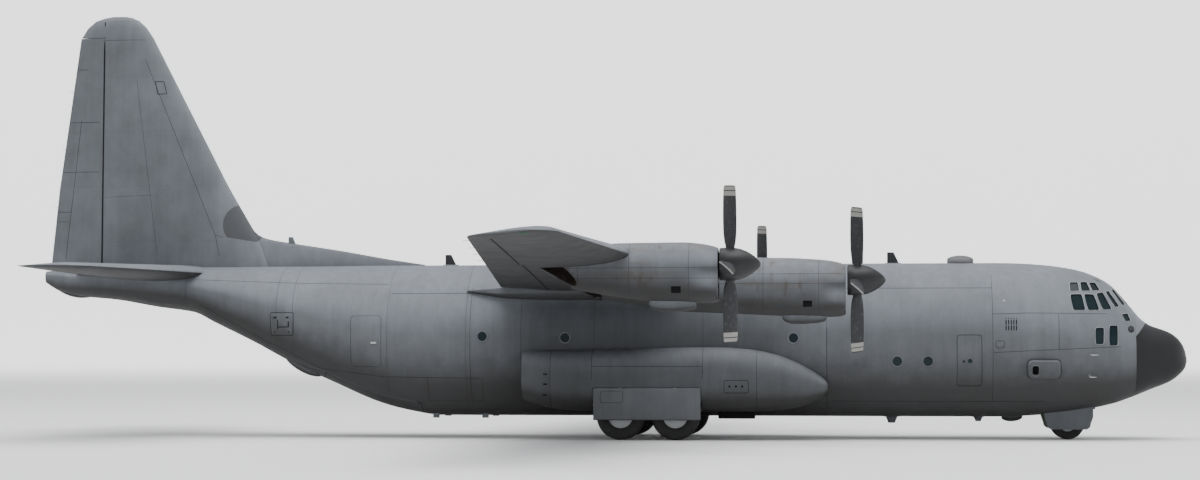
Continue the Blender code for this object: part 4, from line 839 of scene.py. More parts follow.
RAMP_X = (-5.30, -8.40)
RAMP_HALF_WIDTH = 1.48
CARGO_DOOR_AFT_X = -12.42
CARGO_DOOR_HALF_WIDTH = 1.45
CARGO_DOOR_AFT_HALF_WIDTH = 1.0
CARGO_DOOR_SKIN = 0.12
FLOOR_Z = 1.04
HINGE_RISE = 0.075
RAMP_SLANT_GAP = 0.024
CROWN_CUT_X = (-3.90, 3.10)
CROWN_CUT_Z = 4.42
FRAMES_AFT_X = -4.9


def cad_keel(x):
    """The belly line of the solids, which set the places of the ramp's joints."""
    table = [(-12.54, 3.79), (-10.00, 2.50), (-8.10, 1.62), (-6.22, 0.89), (-4.98, 0.66)]
    return straight(table, x)


def ramp_outline(gap):
    front_x, aft_x = RAMP_X
    aft_keel = cad_keel(aft_x)
    hinge_z = cad_keel(front_x) + HINGE_RISE
    return [
        (front_x + gap - (0.0 if gap else 0.3), hinge_z - 0.5),
        (front_x + gap, hinge_z),
        (front_x + gap, FLOOR_Z + gap),
        (aft_x + 0.34 - gap * 0.4, aft_keel + 0.34 + gap),
        (aft_x - 1.20 - gap * 1.4, aft_keel - 1.20),
    ]


def ramp_block(gap):
    half = RAMP_HALF_WIDTH + gap
    return cutter(*slab(ramp_outline(gap), -half, half))


def cargo_door_block(gap):
    front_x, aft_x = RAMP_X[1], CARGO_DOOR_AFT_X
    keel, aft_keel = cad_keel(front_x), cad_keel(aft_x)
    slant = RAMP_SLANT_GAP if gap == 0 else -0.2
    lean = 0.0 if gap else 0.45
    outline = [
        (front_x - 0.9 - slant, keel - 0.9),
        (front_x + 0.8 - slant, keel + 0.8),
        (aft_x - gap + lean, aft_keel + 0.9),
        (aft_x - gap, aft_keel + HINGE_RISE),
        (aft_x - gap, aft_keel - 1.2),
    ]

    def half_width(x):
        share = (front_x - x) / (front_x - aft_x)
        return CARGO_DOOR_HALF_WIDTH + gap + share * (CARGO_DOOR_AFT_HALF_WIDTH - CARGO_DOOR_HALF_WIDTH)

    return cutter(*slab(outline, lambda x: -half_width(x), half_width))


def centre_fuselage():
    hull = shell("centre_fuselage", AFT_BREAK_X + SEAM / 2, FORWARD_BREAK_X - SEAM / 2)
    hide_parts("centre_fuselage")
    low_x, high_x = CROWN_CUT_X
    crown = cutter(*box_points((low_x - 0.002, -3, CROWN_CUT_Z - 0.002), (high_x + 0.002, 3, 6)))
    carve_all(hull, [crown, ramp_block(DOOR_GAP)])
    floor_low = FLOOR_Z - 0.10
    rings = []
    for x in (RAMP_X[0] + 0.02, -4.98, 0.0, 6.0, 12.15):
        half = min(hull_y(x, floor_low, 0.08), hull_y(x, FLOOR_Z, 0.08))
        rings.append([(x, -half, floor_low), (x, half, floor_low), (x, half, FLOOR_Z), (x, -half, FLOOR_Z)])
    floor = loft("cargo_floor", rings, INSIDE)
    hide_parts("cargo_floor")
    points, faces = [], []
    for y in (-0.78, -0.26, 0.26, 0.78):
        for x in spread(-5.1, 11.8, 0.62):
            roller = box_points((x - 0.25, y - 0.035, FLOOR_Z), (x + 0.25, y + 0.035, FLOOR_Z + 0.03))
            join(points, faces, roller)
    mesh_object("cargo_rollers", points, faces, STEEL)
    points, faces = [], []
    outer, inner = VISIBLE_SKIN - 0.002, VISIBLE_SKIN + 0.07
    for x in spread(-5.9, 12.6, 0.51):
        if x > FRAMES_AFT_X and not low_x - 0.2 < x < high_x + 0.2:
            corners = ((x - 0.03, outer), (x + 0.03, outer), (x + 0.03, inner), (x - 0.03, inner))
            rings = [hull_ring(place, reach, 48) for place, reach in corners]
            join(points, faces, loft_faces(rings, closed=True))
    mesh_object("inner_frames", points, faces, INSIDE)


def aft_fuselage():
    hull = shell("aft_fuselage", TAIL_BREAK_X + SEAM / 2, AFT_BREAK_X - SEAM / 2, pitch=0.25)
    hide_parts("aft_fuselage")
    carve_all(hull, [cargo_door_block(DOOR_GAP), ramp_block(DOOR_GAP)])
    for side, sign in SIDES:
        door = door_in_skin(hull, f"{side}_paratroop_door", PARATROOP_DOOR, sign, 0.10, 0.010)
        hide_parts(f"{side}_paratroop_door")
    places = spread(-9.9, RAMP_X[0], 0.2)
    ramp = loft("cargo_ramp", [hull_ring(x) for x in places], [HULL_PAINT, INSIDE], body="cargo_ramp")
    keep_inside(ramp, ramp_block(0.0))
    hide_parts("cargo_ramp")
    door = shell("cargo_door", CARGO_DOOR_AFT_X - 0.1, -7.5, CARGO_DOOR_SKIN, 0.2, body="cargo_door")
    keep_inside(door, cargo_door_block(0.0))
    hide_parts("cargo_door")


forward_fuselage()
centre_fuselage()
aft_fuselage()


# wing stations: y, leading edge x, z, trailing edge x, z, thickness over chord
WING = [
    (0.00, 2.60, 4.90, -2.98, 4.52, 0.175), (2.20, 2.54, 4.90, -2.76, 4.52, 0.175),
    (10.90, 1.88, 5.14, -1.83, 4.85, 0.150), (19.60, 1.14, 5.30, -0.91, 5.18, 0.120),
    (19.95, 0.96, 5.30, -0.80, 5.19, 0.095), (20.12, 0.78, 5.30, -0.72, 5.195, 0.070),
    (20.203, 0.62, 5.30, -0.66, 5.20, 0.030),
]
TAILPLANE = [
    (0.00, -11.85, 5.00, -16.36, 5.00, 0.120), (7.60, -13.62, 5.00, -15.62, 5.00, 0.100),
    (7.84, -13.76, 5.00, -15.58, 5.00, 0.080), (7.96, -13.88, 5.00, -15.54, 5.00, 0.055),
    (8.028, -14.00, 5.00, -15.52, 5.00, 0.020),
]
WING_ROOT_Y = 2.20
FLAP_SPAN = (2.35, 11.60)
AILERON_SPAN = (11.75, 19.30)
FLAP_HINGE = 0.74
AILERON_HINGE = 0.76
ELEVATOR_SPAN = (1.15, 7.50)
ELEVATOR_HINGE_X = -14.90
WING_SIDES = (0.60, 0.40)
TAIL_SIDES = (0.50, 0.50)
TRAILING_EDGE = 0.012
SECTION_STEPS = 28
SURFACE_GAP, FLAP_GAP = 0.014, 0.008


def thickness_at(share):
    shape = 2.969 * sqrt(share) - 1.26 * share - 3.516 * share ** 2 + 2.843 * share ** 3
    return max(shape - 1.015 * share ** 4 + 0.02 * share, 0.0)


def station(table, span):
    return [straight(table, span, column) for column in range(1, 6)]


def wing_section(table, span, sides):
    """A wing's section as (x, z) points, round from the trailing edge over the top."""
    front_x, front_z, rear_x, rear_z, ratio = station(table, span)
    chord = front_x - rear_x
    over, under = [], []
    for k in range(SECTION_STEPS + 1):
        share = (1 - cos(pi * k / SECTION_STEPS)) / 2
        x = front_x - share * chord
        line_z = front_z + share * (rear_z - front_z)
        half = thickness_at(share) * ratio * chord
        over.append((x, line_z + sides[0] * half))
        under.append((x, line_z - sides[1] * half))
    return over[::-1] + under[1:]


def hinge_place(table, span, share, sides):
    front_x, front_z, rear_x, rear_z, ratio = station(table, span)
    chord = front_x - rear_x
    half = thickness_at(share) * ratio * chord
    x = front_x - share * chord
    z = front_z + share * (rear_z - front_z) + (sides[0] - sides[1]) / 2 * half
    return x, z, half / 2 * (sides[0] + sides[1])


def surface_ring(place, rear_x, rear_z, gap=0.0, steps=12):
    """Section of a hinged surface: a round nose about the hinge and a wedge behind it."""
    x, z, radius = place
    reach = radius + gap
    if gap:
        tail = [(rear_x - 0.4, z + reach), (rear_x - 0.4, z - reach)]
    else:
        tail = [(rear_x, rear_z + TRAILING_EDGE), (rear_x, rear_z - TRAILING_EDGE)]
    ring = [tail[0]]
    for k in range(steps + 1):
        angle = pi / 2 + pi * k / steps
        ring.append((x - reach * cos(angle), z + reach * sin(angle)))
    ring.append(tail[1])
    return ring


def wing_surface_rings(table, sign, spans, share, sides, gap=0.0):
    rings = []
    for span, push in zip(spans, (-gap, gap)):
        _, _, rear_x, rear_z, _ = station(table, span)
        ring = surface_ring(hinge_place(table, span, share, sides), rear_x, rear_z, gap)
        rings.append([(x, sign * (span + push), z) for x, z in ring])
    return rings


def surface(name, rings, body, paint=WING_PAINT):
    item = loft(name, rings, paint, body=body, smooth_angle=25)
    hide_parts(name)


def outer_wings():
    for side, sign in SIDES:
        spans = spread(WING_ROOT_Y + 0.003, 19.60, 0.9) + [row[0] for row in WING[4:]]
        rings = [[(x, sign * span, z) for x, z in wing_section(WING, span, WING_SIDES)] for span in spans]
        wing = loft(f"{side}_wing", rings, WING_PAINT, smooth_angle=30)
        flap = (WING, sign, FLAP_SPAN, FLAP_HINGE, WING_SIDES)
        aileron = (WING, sign, AILERON_SPAN, AILERON_HINGE, WING_SIDES)
        rooms = [cutter(*loft_faces(wing_surface_rings(*flap, FLAP_GAP))),
                 cutter(*loft_faces(wing_surface_rings(*aileron, SURFACE_GAP)))]
        carve_all(wing, rooms, 30)
        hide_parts(f"{side}_wing")
        surface(f"{side}_flap", wing_surface_rings(*flap), BODY)
        surface(f"{side}_aileron", wing_surface_rings(*aileron), f"{side}_aileron")


# fairing beside the cabin under the wing root: x, lower edge z, top z, outer y
FILLET = [
    (-3.85, 4.37, 4.42, 1.80), (-3.40, 4.29, 4.44, 1.93), (-2.60, 4.18, 4.50, 2.10),
    (-1.40, 4.14, 4.60, 2.17), (0.00, 4.13, 4.70, 2.19), (1.40, 4.15, 4.78, 2.18),
    (2.30, 4.20, 4.80, 2.15), (2.80, 4.30, 4.70, 1.95), (3.05, 4.40, 4.58, 1.75),
]


def centre_wing():
    """The wing's middle, the cabin's crown under it and the fairings at its roots."""
    spans = (-WING_ROOT_Y, WING_ROOT_Y)
    rings = [[(x, span, z) for x, z in wing_section(WING, abs(span), WING_SIDES)] for span in spans]
    item = loft("centre_wing", rings, BARE_PAINT, smooth_angle=30)
    low_x, high_x = CROWN_CUT_X
    crown = loft("wing_crown", [hull_ring(x) for x in spread(low_x, high_x, 0.3)], HULL_PAINT)
    keep_inside(crown, cutter(*box_points((low_x - 1, -3, CROWN_CUT_Z), (high_x + 1, 3, 5.4))))
    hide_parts("centre_wing")
    points, faces = [], []
    for sign in (1, -1):
        rings = []
        for x in spread(FILLET[0][0], FILLET[-1][0], 0.16):
            low, high, outer = row_at(FILLET, x)
            inner, middle = 1.2, (low + high) / 2
            ring = [(inner, low - 0.02), (outer - 0.30, low - 0.01)]
            for k in range(9):
                angle = -pi / 2 + pi / 2 * k / 8
                ring.append((outer - 0.22 + 0.22 * cos(angle), middle + (middle - low) * sin(angle)))
            ring += [(outer, high), (inner, high + 0.02)]
            rings.append([(x, sign * y, z) for y, z in ring])
        join(points, faces, loft_faces(rings))
    mesh_object("wing_root_fairings", points, faces, BARE_PAINT)


# fin stations: z, leading edge x, trailing edge x, half thickness
FIN = [
    (5.00, -10.05, -17.34, 0.42), (7.68, -11.64, -17.07, 0.34), (12.40, -14.10, -16.42, 0.20),
    (12.72, -14.32, -16.22, 0.17), (12.94, -14.55, -15.96, 0.13), (13.04, -14.78, -15.66, 0.08),
    (13.078, -14.98, -15.44, 0.03),
]
RUDDER_HINGE_X = -15.65
RUDDER_SPAN = (5.27, 12.40)
# height at which the fin's edges change their slant
FIN_BREAK_Z = 7.68
# dorsal fin: x, top z, half width at its foot
DORSAL = [
    (-5.45, 5.262, 0.03), (-6.60, 5.44, 0.08), (-8.00, 5.69, 0.13), (-9.40, 5.91, 0.165),
    (-10.30, 6.06, 0.185), (-10.62, 6.16, 0.195), (-10.86, 6.36, 0.205), (-11.05, 6.62, 0.212),
    (-11.26, 6.98, 0.22), (-11.50, 7.20, 0.22), (-12.60, 7.20, 0.22),
]
DORSAL_FOOT_Z = 5.02


def fin_ring(z):
    front, rear, half = (straight(FIN, z, column) for column in range(1, 4))
    left, right = [], []
    for k in range(SECTION_STEPS + 1):
        share = (1 - cos(pi * k / SECTION_STEPS)) / 2
        width = half * thickness_at(share)
        left.append((front - share * (front - rear), width, z))
        right.append((front - share * (front - rear), -width, z))
    return left + right[-2:0:-1]


def rudder_ring(z, gap=0.0):
    front, rear, half = (straight(FIN, z, column) for column in range(1, 4))
    radius = half * thickness_at((front - RUDDER_HINGE_X) / (front - rear))
    ring = surface_ring((RUDDER_HINGE_X, 0.0, radius), rear, 0.0, gap)
    return [(x, y, z) for x, y in ring]


def tail_cone():
    places = spread(TAIL_X, TAIL_BREAK_X - SEAM / 2, 0.2)
    rings = [hull_ring(x) for x in places]
    cone = loft("tail_cone", rings, HULL_PAINT, smooth_angle=50)
    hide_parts("tail_cone")


def tailplane():
    """The tailplane and both elevators."""
    spans = [row[0] for row in TAILPLANE]
    spans = [-span for span in reversed(spans[1:])] + spans
    rings = [[(x, span, z) for x, z in wing_section(TAILPLANE, abs(span), TAIL_SIDES)] for span in spans]
    plane = loft("tailplane", rings, WING_PAINT, smooth_angle=30)
    rooms = []
    for side, sign in SIDES:
        for gap in (SURFACE_GAP, 0.0):
            rings = []
            for span, push in zip(ELEVATOR_SPAN, (-gap, gap)):
                front_x, _, rear_x, rear_z, ratio = station(TAILPLANE, span)
                chord = front_x - rear_x
                radius = thickness_at((front_x - ELEVATOR_HINGE_X) / chord) * ratio * chord / 2
                ring = surface_ring((ELEVATOR_HINGE_X, rear_z, radius), rear_x, rear_z, gap)
                rings.append([(x, sign * (span + push), z) for x, z in ring])
            if gap:
                rooms.append(cutter(*loft_faces(rings)))
            else:
                surface(f"{side}_elevator", rings, f"{side}_elevator")
    carve_all(plane, rooms, 30)
    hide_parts("tailplane")


def fin_and_rudder():
    levels = spread(5.00, 12.40, 0.4) + [row[0] for row in FIN[3:]]
    fin = loft("fin", [fin_ring(z) for z in levels], FIN_PAINT, smooth_angle=30)
    low, high = RUDDER_SPAN
    rings = [rudder_ring(z, SURFACE_GAP) for z in (low - 1.0, low, FIN_BREAK_Z, high)]
    rings[-1] = [(x, y, high + SURFACE_GAP) for x, y, _ in rings[-1]]
    carve_all(fin, [cutter(*loft_faces(rings))], 30)
    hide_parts("fin")
    surface("rudder", [rudder_ring(z) for z in (low, FIN_BREAK_Z, high)], "rudder", FIN_PAINT)


def dorsal_fin():
    rings = []
    for x, high, half in dorsal_rows():
        ring = []
        for k in range(13):
            angle = pi * k / 12
            width = half * cos(angle) * (0.35 + 0.65 * (1 - sin(angle)) ** 0.6)
            ring.append((x, width, DORSAL_FOOT_Z + (high - DORSAL_FOOT_Z) * sin(angle) ** 0.9))
        rings.append(ring)
    dorsal = loft("dorsal_fin", rings, FIN_PAINT, smooth_angle=60)


def dorsal_rows():
    """Close stations of the dorsal fin on smooth curves."""
    rows = sorted(DORSAL)
    tops = [(x, high) for x, high, _ in rows]
    feet = [(x, half) for x, _, half in rows]
    return [(x, smooth(tops, x), smooth(feet, x)) for x in spread(rows[0][0], rows[-1][0], 0.12)]


outer_wings()
centre_wing()
tail_cone()
tailplane()
fin_and_rudder()
dorsal_fin()


# nacelle rows: distance behind the propeller, crown and keel from the hub, half width
OUTER_NACELLE = [
    (0.30, 0.43, -0.98, 0.47), (0.50, 0.49, -1.02, 0.54), (0.78, 0.54, -1.02, 0.60),
    (1.24, 0.575, -1.00, 0.64), (2.10, 0.57, -0.96, 0.655), (2.90, 0.56, -0.86, 0.655),
    (4.10, 0.40, -0.66, 0.58), (5.18, 0.02, -0.50, 0.42),
]
INNER_NACELLE = [
    (0.32, 0.43, -0.98, 0.47), (0.52, 0.50, -1.03, 0.54), (0.95, 0.57, -1.04, 0.60),
    (2.05, 0.63, -1.01, 0.65), (3.30, 0.64, -0.95, 0.67), (5.25, 0.64, -0.86, 0.67),
    (6.00, 0.62, -0.72, 0.66), (7.40, 0.40, -0.50, 0.58), (8.38, 0.04, -0.34, 0.42),
]
# engines: name, y, hub z, propeller plane x, rows, clocking of the blades
ENGINES = [
    ("left_outer", 10.24, 4.88, 4.485, OUTER_NACELLE, 5.0),
    ("left_inner", 4.98, 4.61, 7.765, INNER_NACELLE, 9.0),
    ("right_inner", -4.98, 4.61, 7.765, INNER_NACELLE, 9.0),
    ("right_outer", -10.24, 4.88, 4.485, OUTER_NACELLE, 5.0),
]
NACELLE_POINTS = 56
# powers of a nacelle's section at its sides and below, and how far its widest place stands above the middle
NACELLE_SIDE_POWER, NACELLE_LOW_POWER, NACELLE_WAIST_UP = 0.74, 0.86, 0.10
INTAKE_DROP = 0.70
CHEEK_END, CHEEK_SWELL, CHEEK_WAIST = 1.20, 0.060, 0.045
# lower end of the slanted exhaust, from the hub
EXHAUST_DROP = -0.58
# the exhaust's dark mouth on the nacelle's side: distance ahead of the tail's tip, height from its crown
EXHAUST_PATCH = [
    (0.10, -0.02), (0.45, 0.02), (0.80, -0.07), (1.04, -0.26), (1.20, -0.48), (1.16, -0.585),
    (1.00, -0.535), (0.60, -0.305), (0.25, -0.115),
]
INTAKE_HALF, INTAKE_CORNER = (0.34, 0.235), 0.16
# the oil cooler's scoop: distance behind the propeller, half width, bottom from the hub
SCOOP = [
    (0.865, 0.15, -1.11), (0.90, 0.20, -1.16), (1.05, 0.24, -1.20), (1.50, 0.26, -1.24),
    (1.85, 0.24, -1.23), (2.02, 0.19, -1.17), (2.10, 0.12, -1.08),
]
SCOOP_TOP = -0.90
# spinner: distance ahead of the propeller plane, radius
SPINNER = [
    (-0.27, 0.405), (-0.25, 0.425), (-0.05, 0.436), (0.12, 0.428), (0.28, 0.395), (0.42, 0.340),
    (0.54, 0.275), (0.64, 0.205), (0.72, 0.135), (0.77, 0.075), (0.795, 0.030), (0.80, 0.004),
]
BLADE_POINTS = 20
# blade stations: radius, chord, thickness, pitch in degrees
BLADE = [
    (0.26, 0.20, 0.170, 61.0), (0.42, 0.25, 0.140, 59.5), (0.62, 0.37, 0.092, 57.0),
    (0.90, 0.44, 0.072, 54.5), (1.20, 0.47, 0.055, 52.0), (1.55, 0.475, 0.044, 50.0),
    (1.785, 0.470, 0.036, 48.5), (1.905, 0.465, 0.033, 47.9), (1.930, 0.462, 0.032, 47.8),
    (1.985, 0.452, 0.030, 47.4), (2.025, 0.425, 0.027, 47.2), (2.045, 0.380, 0.024, 47.0),
    (2.055, 0.310, 0.018, 47.0),
]
TIP_BANDS = ((1.785, 1.905), (1.930, 2.025))


def cheek(back, up):
    """How far the intake's chin swells beside the spinner's waist."""
    near = min(max((CHEEK_END - back) / 0.62, 0.0), 1.0)
    near = near * near * (3 - 2 * near)
    chin = CHEEK_SWELL * exp(-((up + INTAKE_DROP) / 0.22) ** 2)
    waist = CHEEK_WAIST * exp(-((up + 0.26) / 0.13) ** 2)
    return near * (chin - waist)


def nacelle_side(rows, back, up):
    """Half width of a nacelle at a distance behind its propeller and a height from its hub."""
    crown, keel, half = row_at(rows, back)
    middle = (crown + keel) / 2 + NACELLE_WAIST_UP
    if up > middle:
        share = min((up - middle) / (crown - middle), 1.0)
        return half * sqrt(1 - share ** 2)
    share = min((middle - up) / (middle - keel), 1.0) ** (1 / NACELLE_LOW_POWER)
    return (half + cheek(back, up)) * sqrt(1 - share ** 2) ** NACELLE_SIDE_POWER


def side_patch(name, rows, y, hub_z, plane_x, outline, out, material):
    """A thin patch that follows both sides of a nacelle, from an outline in (distance back, height)."""
    middle_back = sum(back for back, _ in outline) / len(outline)
    middle_up = sum(up for _, up in outline) / len(outline)
    points, faces = [], []
    for sign in (1, -1):
        rings = []
        for shrink, lift in ((0.0, -0.02), (0.0, out), (0.25, out), (0.5, out), (0.75, out), (0.999, out)):
            ring = []
            for back, up in outline:
                near_back = back + (middle_back - back) * shrink
                near_up = up + (middle_up - up) * shrink
                side = nacelle_side(rows, near_back, near_up) + lift
                ring.append((plane_x - near_back, y + sign * side, hub_z + near_up))
            rings.append(ring)
        join(points, faces, loft_faces(rings))
    mesh_object(name, points, faces, material, smooth_angle=40)


def smooth_outline(points, steps=6):
    """A closed curve through points."""
    ring = []
    count = len(points)
    for k in range(count):
        a, b, c, d = (points[(k + shift) % count] for shift in (-1, 0, 1, 2))
        for j in range(steps):
            t = j / steps
            ring.append(tuple(0.5 * (2 * q + (r - p) * t + (2 * p - 5 * q + 4 * r - s) * t ** 2
                                     + (3 * q - p - 3 * r + s) * t ** 3) for p, q, r, s in zip(a, b, c, d)))
    return ring


def nacelle_ring(rows, back, plane_x, centre_y, hub_z, inset=0.0):
    crown, keel, half = row_at(rows, back)
    crown, keel, half = crown - inset, keel + inset, half - inset
    middle = (crown + keel) / 2 + NACELLE_WAIST_UP
    ring = []
    for across, rise in circle(NACELLE_POINTS):
        side = signed_power(across, 1.0 if rise > 0 else NACELLE_SIDE_POWER)
        lift = signed_power(rise, 1.0 if rise > 0 else NACELLE_LOW_POWER)
        up = middle + (crown - middle if rise > 0 else middle - keel) * lift
        ring.append((plane_x - back, centre_y + (half + cheek(back, up)) * side, hub_z + up))
    return ring


def round_box(x_low, x_high, centre_y, centre_z, half_y, half_z, radius, material):
    """A bar along X with round corners, used to cut openings."""
    outline = rounded_outline(-half_y, half_y, -half_z, half_z, radius, steps=6)
    rings = [[(x, centre_y + y, centre_z + z) for y, z in outline] for x in (x_low, x_high)]
    return cutter(*loft_faces(rings), material)


def engine(name, y, hub_z, plane_x, rows, clocking):
    first, last = rows[0][0], rows[-1][0]
    rings = []
    for step_back, inset in ((0.0, 0.022), (0.006, 0.008)):
        ring = nacelle_ring(rows, first, plane_x, y, hub_z, inset)
        rings.append([(x - step_back, across, up) for x, across, up in ring])
    for back in spread(first + 0.05, 1.3, 0.09) + spread(1.4, last, 0.18):
        rings.append(nacelle_ring(rows, back, plane_x, y, hub_z))
    nacelle = loft(f"{name}_nacelle", rings, [NACELLE_PAINT], smooth_angle=40)
    front, tail_x = plane_x - first, plane_x - last
    high = rows[-1][1]
    slant = [(tail_x - 0.3, hub_z + high), (tail_x, hub_z + high), (tail_x + 1.05, hub_z + EXHAUST_DROP),
             (tail_x + 1.05, hub_z - 2.0), (tail_x - 0.3, hub_z - 2.0)]
    well = rod_rings((plane_x - 0.72, y, hub_z), (plane_x + 0.1, y, hub_z), 0.405, sides=40)
    # painted shade: the intake, the spinner's well and the side recesses get near-black walls
    tools = [round_box(front - 1.1, front + 0.2, y, hub_z - INTAKE_DROP, *INTAKE_HALF, INTAKE_CORNER, DARK),
             cutter(*loft_faces(well), DARK),
             cutter(*slab(slant, y - 1.2, y + 1.2))]
    for sign in (1, -1):
        low, far = sorted((y + sign * 0.50, y + sign * 1.0))
        recess = box_points((plane_x - 1.50, low, hub_z - 0.77), (plane_x - 1.25, far, hub_z - 0.59))
        tools.append(cutter(*recess, DARK))
    carve_all(nacelle, tools, 40)
    aft_x = tail_x + 0.10
    fore_x = aft_x + 0.86
    top_z, low_z = (hub_z + high + (EXHAUST_DROP - high) * share for share in (0.09, 0.91))
    lean = 0.5 * Vector((0.52, 0, 0.85)).normalized().x
    hole = [(aft_x - 0.12, top_z - 0.20), (fore_x - 0.12, low_z - 0.20), (fore_x + lean, low_z + 0.34),
            (aft_x + lean, top_z + 0.02)]
    carve_all(nacelle, [cutter(*slab(hole, y - 0.30, y + 0.30), SOOT)], 40)
    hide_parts(f"{name}_nacelle")
    outline = smooth_outline([(last - ahead, high + up) for ahead, up in EXHAUST_PATCH])
    side_patch(f"{name}_exhaust_side", rows, y, hub_z, plane_x, outline, 0.010, SOOT)
    block = box(f"{name}_engine", (plane_x - 2.2, y - 0.3, hub_z - 0.35),
                (plane_x - 0.74, y + 0.3, hub_z + 0.2), [SOOT], bevel=0.04)
    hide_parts(f"{name}_engine")
    lip = intake_lip(front, y, hub_z - INTAKE_DROP)
    line_tube(f"{name}_intake_lip", lip, 0.020, BARE_PAINT, cyclic=True)
    cooler_scoop(name, y, hub_z, plane_x)
    propeller(name, y, hub_z, plane_x, clocking)


def intake_lip(front, y, z):
    """The line that the rounded lip of the chin intake follows."""
    half_y, half_z = INTAKE_HALF
    outline = rounded_outline(-half_y, half_y, -half_z, half_z, INTAKE_CORNER, 0.004, 8)
    return [(front - 0.016, y + across, z + up) for across, up in outline]


def cooler_scoop(name, y, hub_z, plane_x):
    """The flat fairing of the oil cooler under the nacelle, open at its front."""
    rings = []
    for back, half, bottom in SCOOP:
        middle, reach = (SCOOP_TOP + bottom) / 2, (SCOOP_TOP - bottom) / 2
        ring = []
        for across, up in circle(24):
            side, lift = signed_power(across, 0.6), signed_power(up, 0.6)
            ring.append((plane_x - back, y + half * side, hub_z + middle + reach * lift))
        rings.append(ring)
    scoop = loft(f"{name}_cooler_scoop", rings, BARE_PAINT, smooth_angle=50)
    # painted shade: the mouth's walls are near black
    mouth = round_box(plane_x - 1.05, plane_x - 0.8, y, hub_z - 1.06, 0.10, 0.045, 0.04, DARK)
    carve_all(scoop, [mouth], 40)


def blade_ring(radius, chord, thick, pitch, turn):
    """A blade's section at a radius, turned to the blade's place on the hub."""
    lean = Matrix.Rotation(radians(pitch), 3, "Z")
    ring = []
    for along, side in circle(BLADE_POINTS):
        across = side * (0.62 if side > 0 else 0.38) * (1 - 0.25 * along)
        place = lean @ Vector((thick * across, chord * along / 2, 0)) + Vector((0, 0, radius))
        ring.append(turn @ place)
    return ring


def fine_blade():
    """The blade's stations with more of them between, so that its outline stays smooth."""
    rows = []
    for near, far in zip(BLADE, BLADE[1:]):
        steps = max(1, int(round((far[0] - near[0]) / 0.09)))
        for k in range(steps):
            radius = near[0] + (far[0] - near[0]) * k / steps
            rows.append((radius, *row_at(BLADE, radius)))
    rows.append(BLADE[-1])
    return rows


def propeller(name, y, hub_z, plane_x, clocking):
    place = Vector((plane_x, y, hub_z))
    body = f"{name}_propeller"
    rings = []
    for x, radius in SPINNER:
        rings.append([(plane_x + x, y + radius * c, hub_z + radius * s) for c, s in circle(56)])
    spinner = loft(body, rings, SPIN_PAINT, body=body, smooth_angle=50)
    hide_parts(body)
    turns = [Matrix.Rotation(radians(90 * k + clocking), 3, "X") for k in range(4)]
    points, faces, slots = [], [], []
    rows = fine_blade()
    for turn in turns:
        rings = [[point + place for point in blade_ring(*row, turn)] for row in rows]
        join(points, faces, loft_faces(rings))
        for row in rows[:-1]:
            banded = any(low <= row[0] + 0.001 < high for low, high in TIP_BANDS)
            slots += [1 if banded else 0] * BLADE_POINTS
        slots += [0, 0]
    blades = mesh_object(f"{name}_blades", points, faces, [BLADE_COAT, TIP_COAT], body=body, smooth_angle=50,
                         face_slots=slots)
    for k, turn in enumerate(turns):
        start, end = (place + turn @ Vector((0, 0, reach)) for reach in (0.34, 0.455))
        cuff = tube_between(f"{name}_blade_cuff_{k}", start, end, 0.118, SPIN_PAINT, body=body, sides=32,
                            end_radius=0.098)


for one in ENGINES:
    engine(*one)


# sponson rows: x, top z, bottom z, outer y
SPONSON = [
    (-2.10, 2.655, 1.16, 2.54), (-1.60, 2.66, 0.98, 2.66), (-0.60, 2.67, 0.85, 2.74),
    (3.60, 2.75, 0.83, 2.74), (4.60, 2.69, 0.83, 2.72), (5.30, 2.56, 0.86, 2.67),
    (5.90, 2.35, 0.93, 2.58), (6.30, 2.14, 1.04, 2.47), (6.58, 1.97, 1.14, 2.37),
    (6.76, 1.84, 1.24, 2.28), (6.86, 1.73, 1.34, 2.19), (6.895, 1.64, 1.43, 2.11),
]
SPONSON_CENTRE_Y = 1.55
MAIN_WHEEL_X = (0.82, 2.44)
MAIN_WHEEL_Y = 2.175
MAIN_RADIUS, MAIN_WIDTH = 0.71, 0.50
BAY_X, BAY_Y, BAY_TOP = (0.02, 3.24), (1.50, 2.60), 1.90
MAIN_DOOR = (0.055, 3.205, 0.59, 1.53)
DOOR_THICK, DOOR_OUTER_Y = 0.06, 2.745
LEG_Y = 2.515
NOSE_WHEEL_X = 13.95
NOSE_RADIUS, NOSE_WIDTH, NOSE_TRACK = 0.49, 0.32, 0.56
NOSE_BAY_TOP = 1.95
NOSE_DOOR_TOP = 0.70
RUNNING_GAP = 0.014
# height of the collars between the legs' barrels and pistons
COLLAR_Z = 1.02


def sponson_ring(x, sign):
    top, bottom, outer = row_at(SPONSON, x)
    high, wide = (top - bottom) / 2, outer - SPONSON_CENTRE_Y
    ring = []
    for across, rise in circle(64):
        y = SPONSON_CENTRE_Y + wide * signed_power(across, 0.52)
        ring.append((x, sign * y, bottom + high * (1 + signed_power(rise, 0.60))))
    return ring


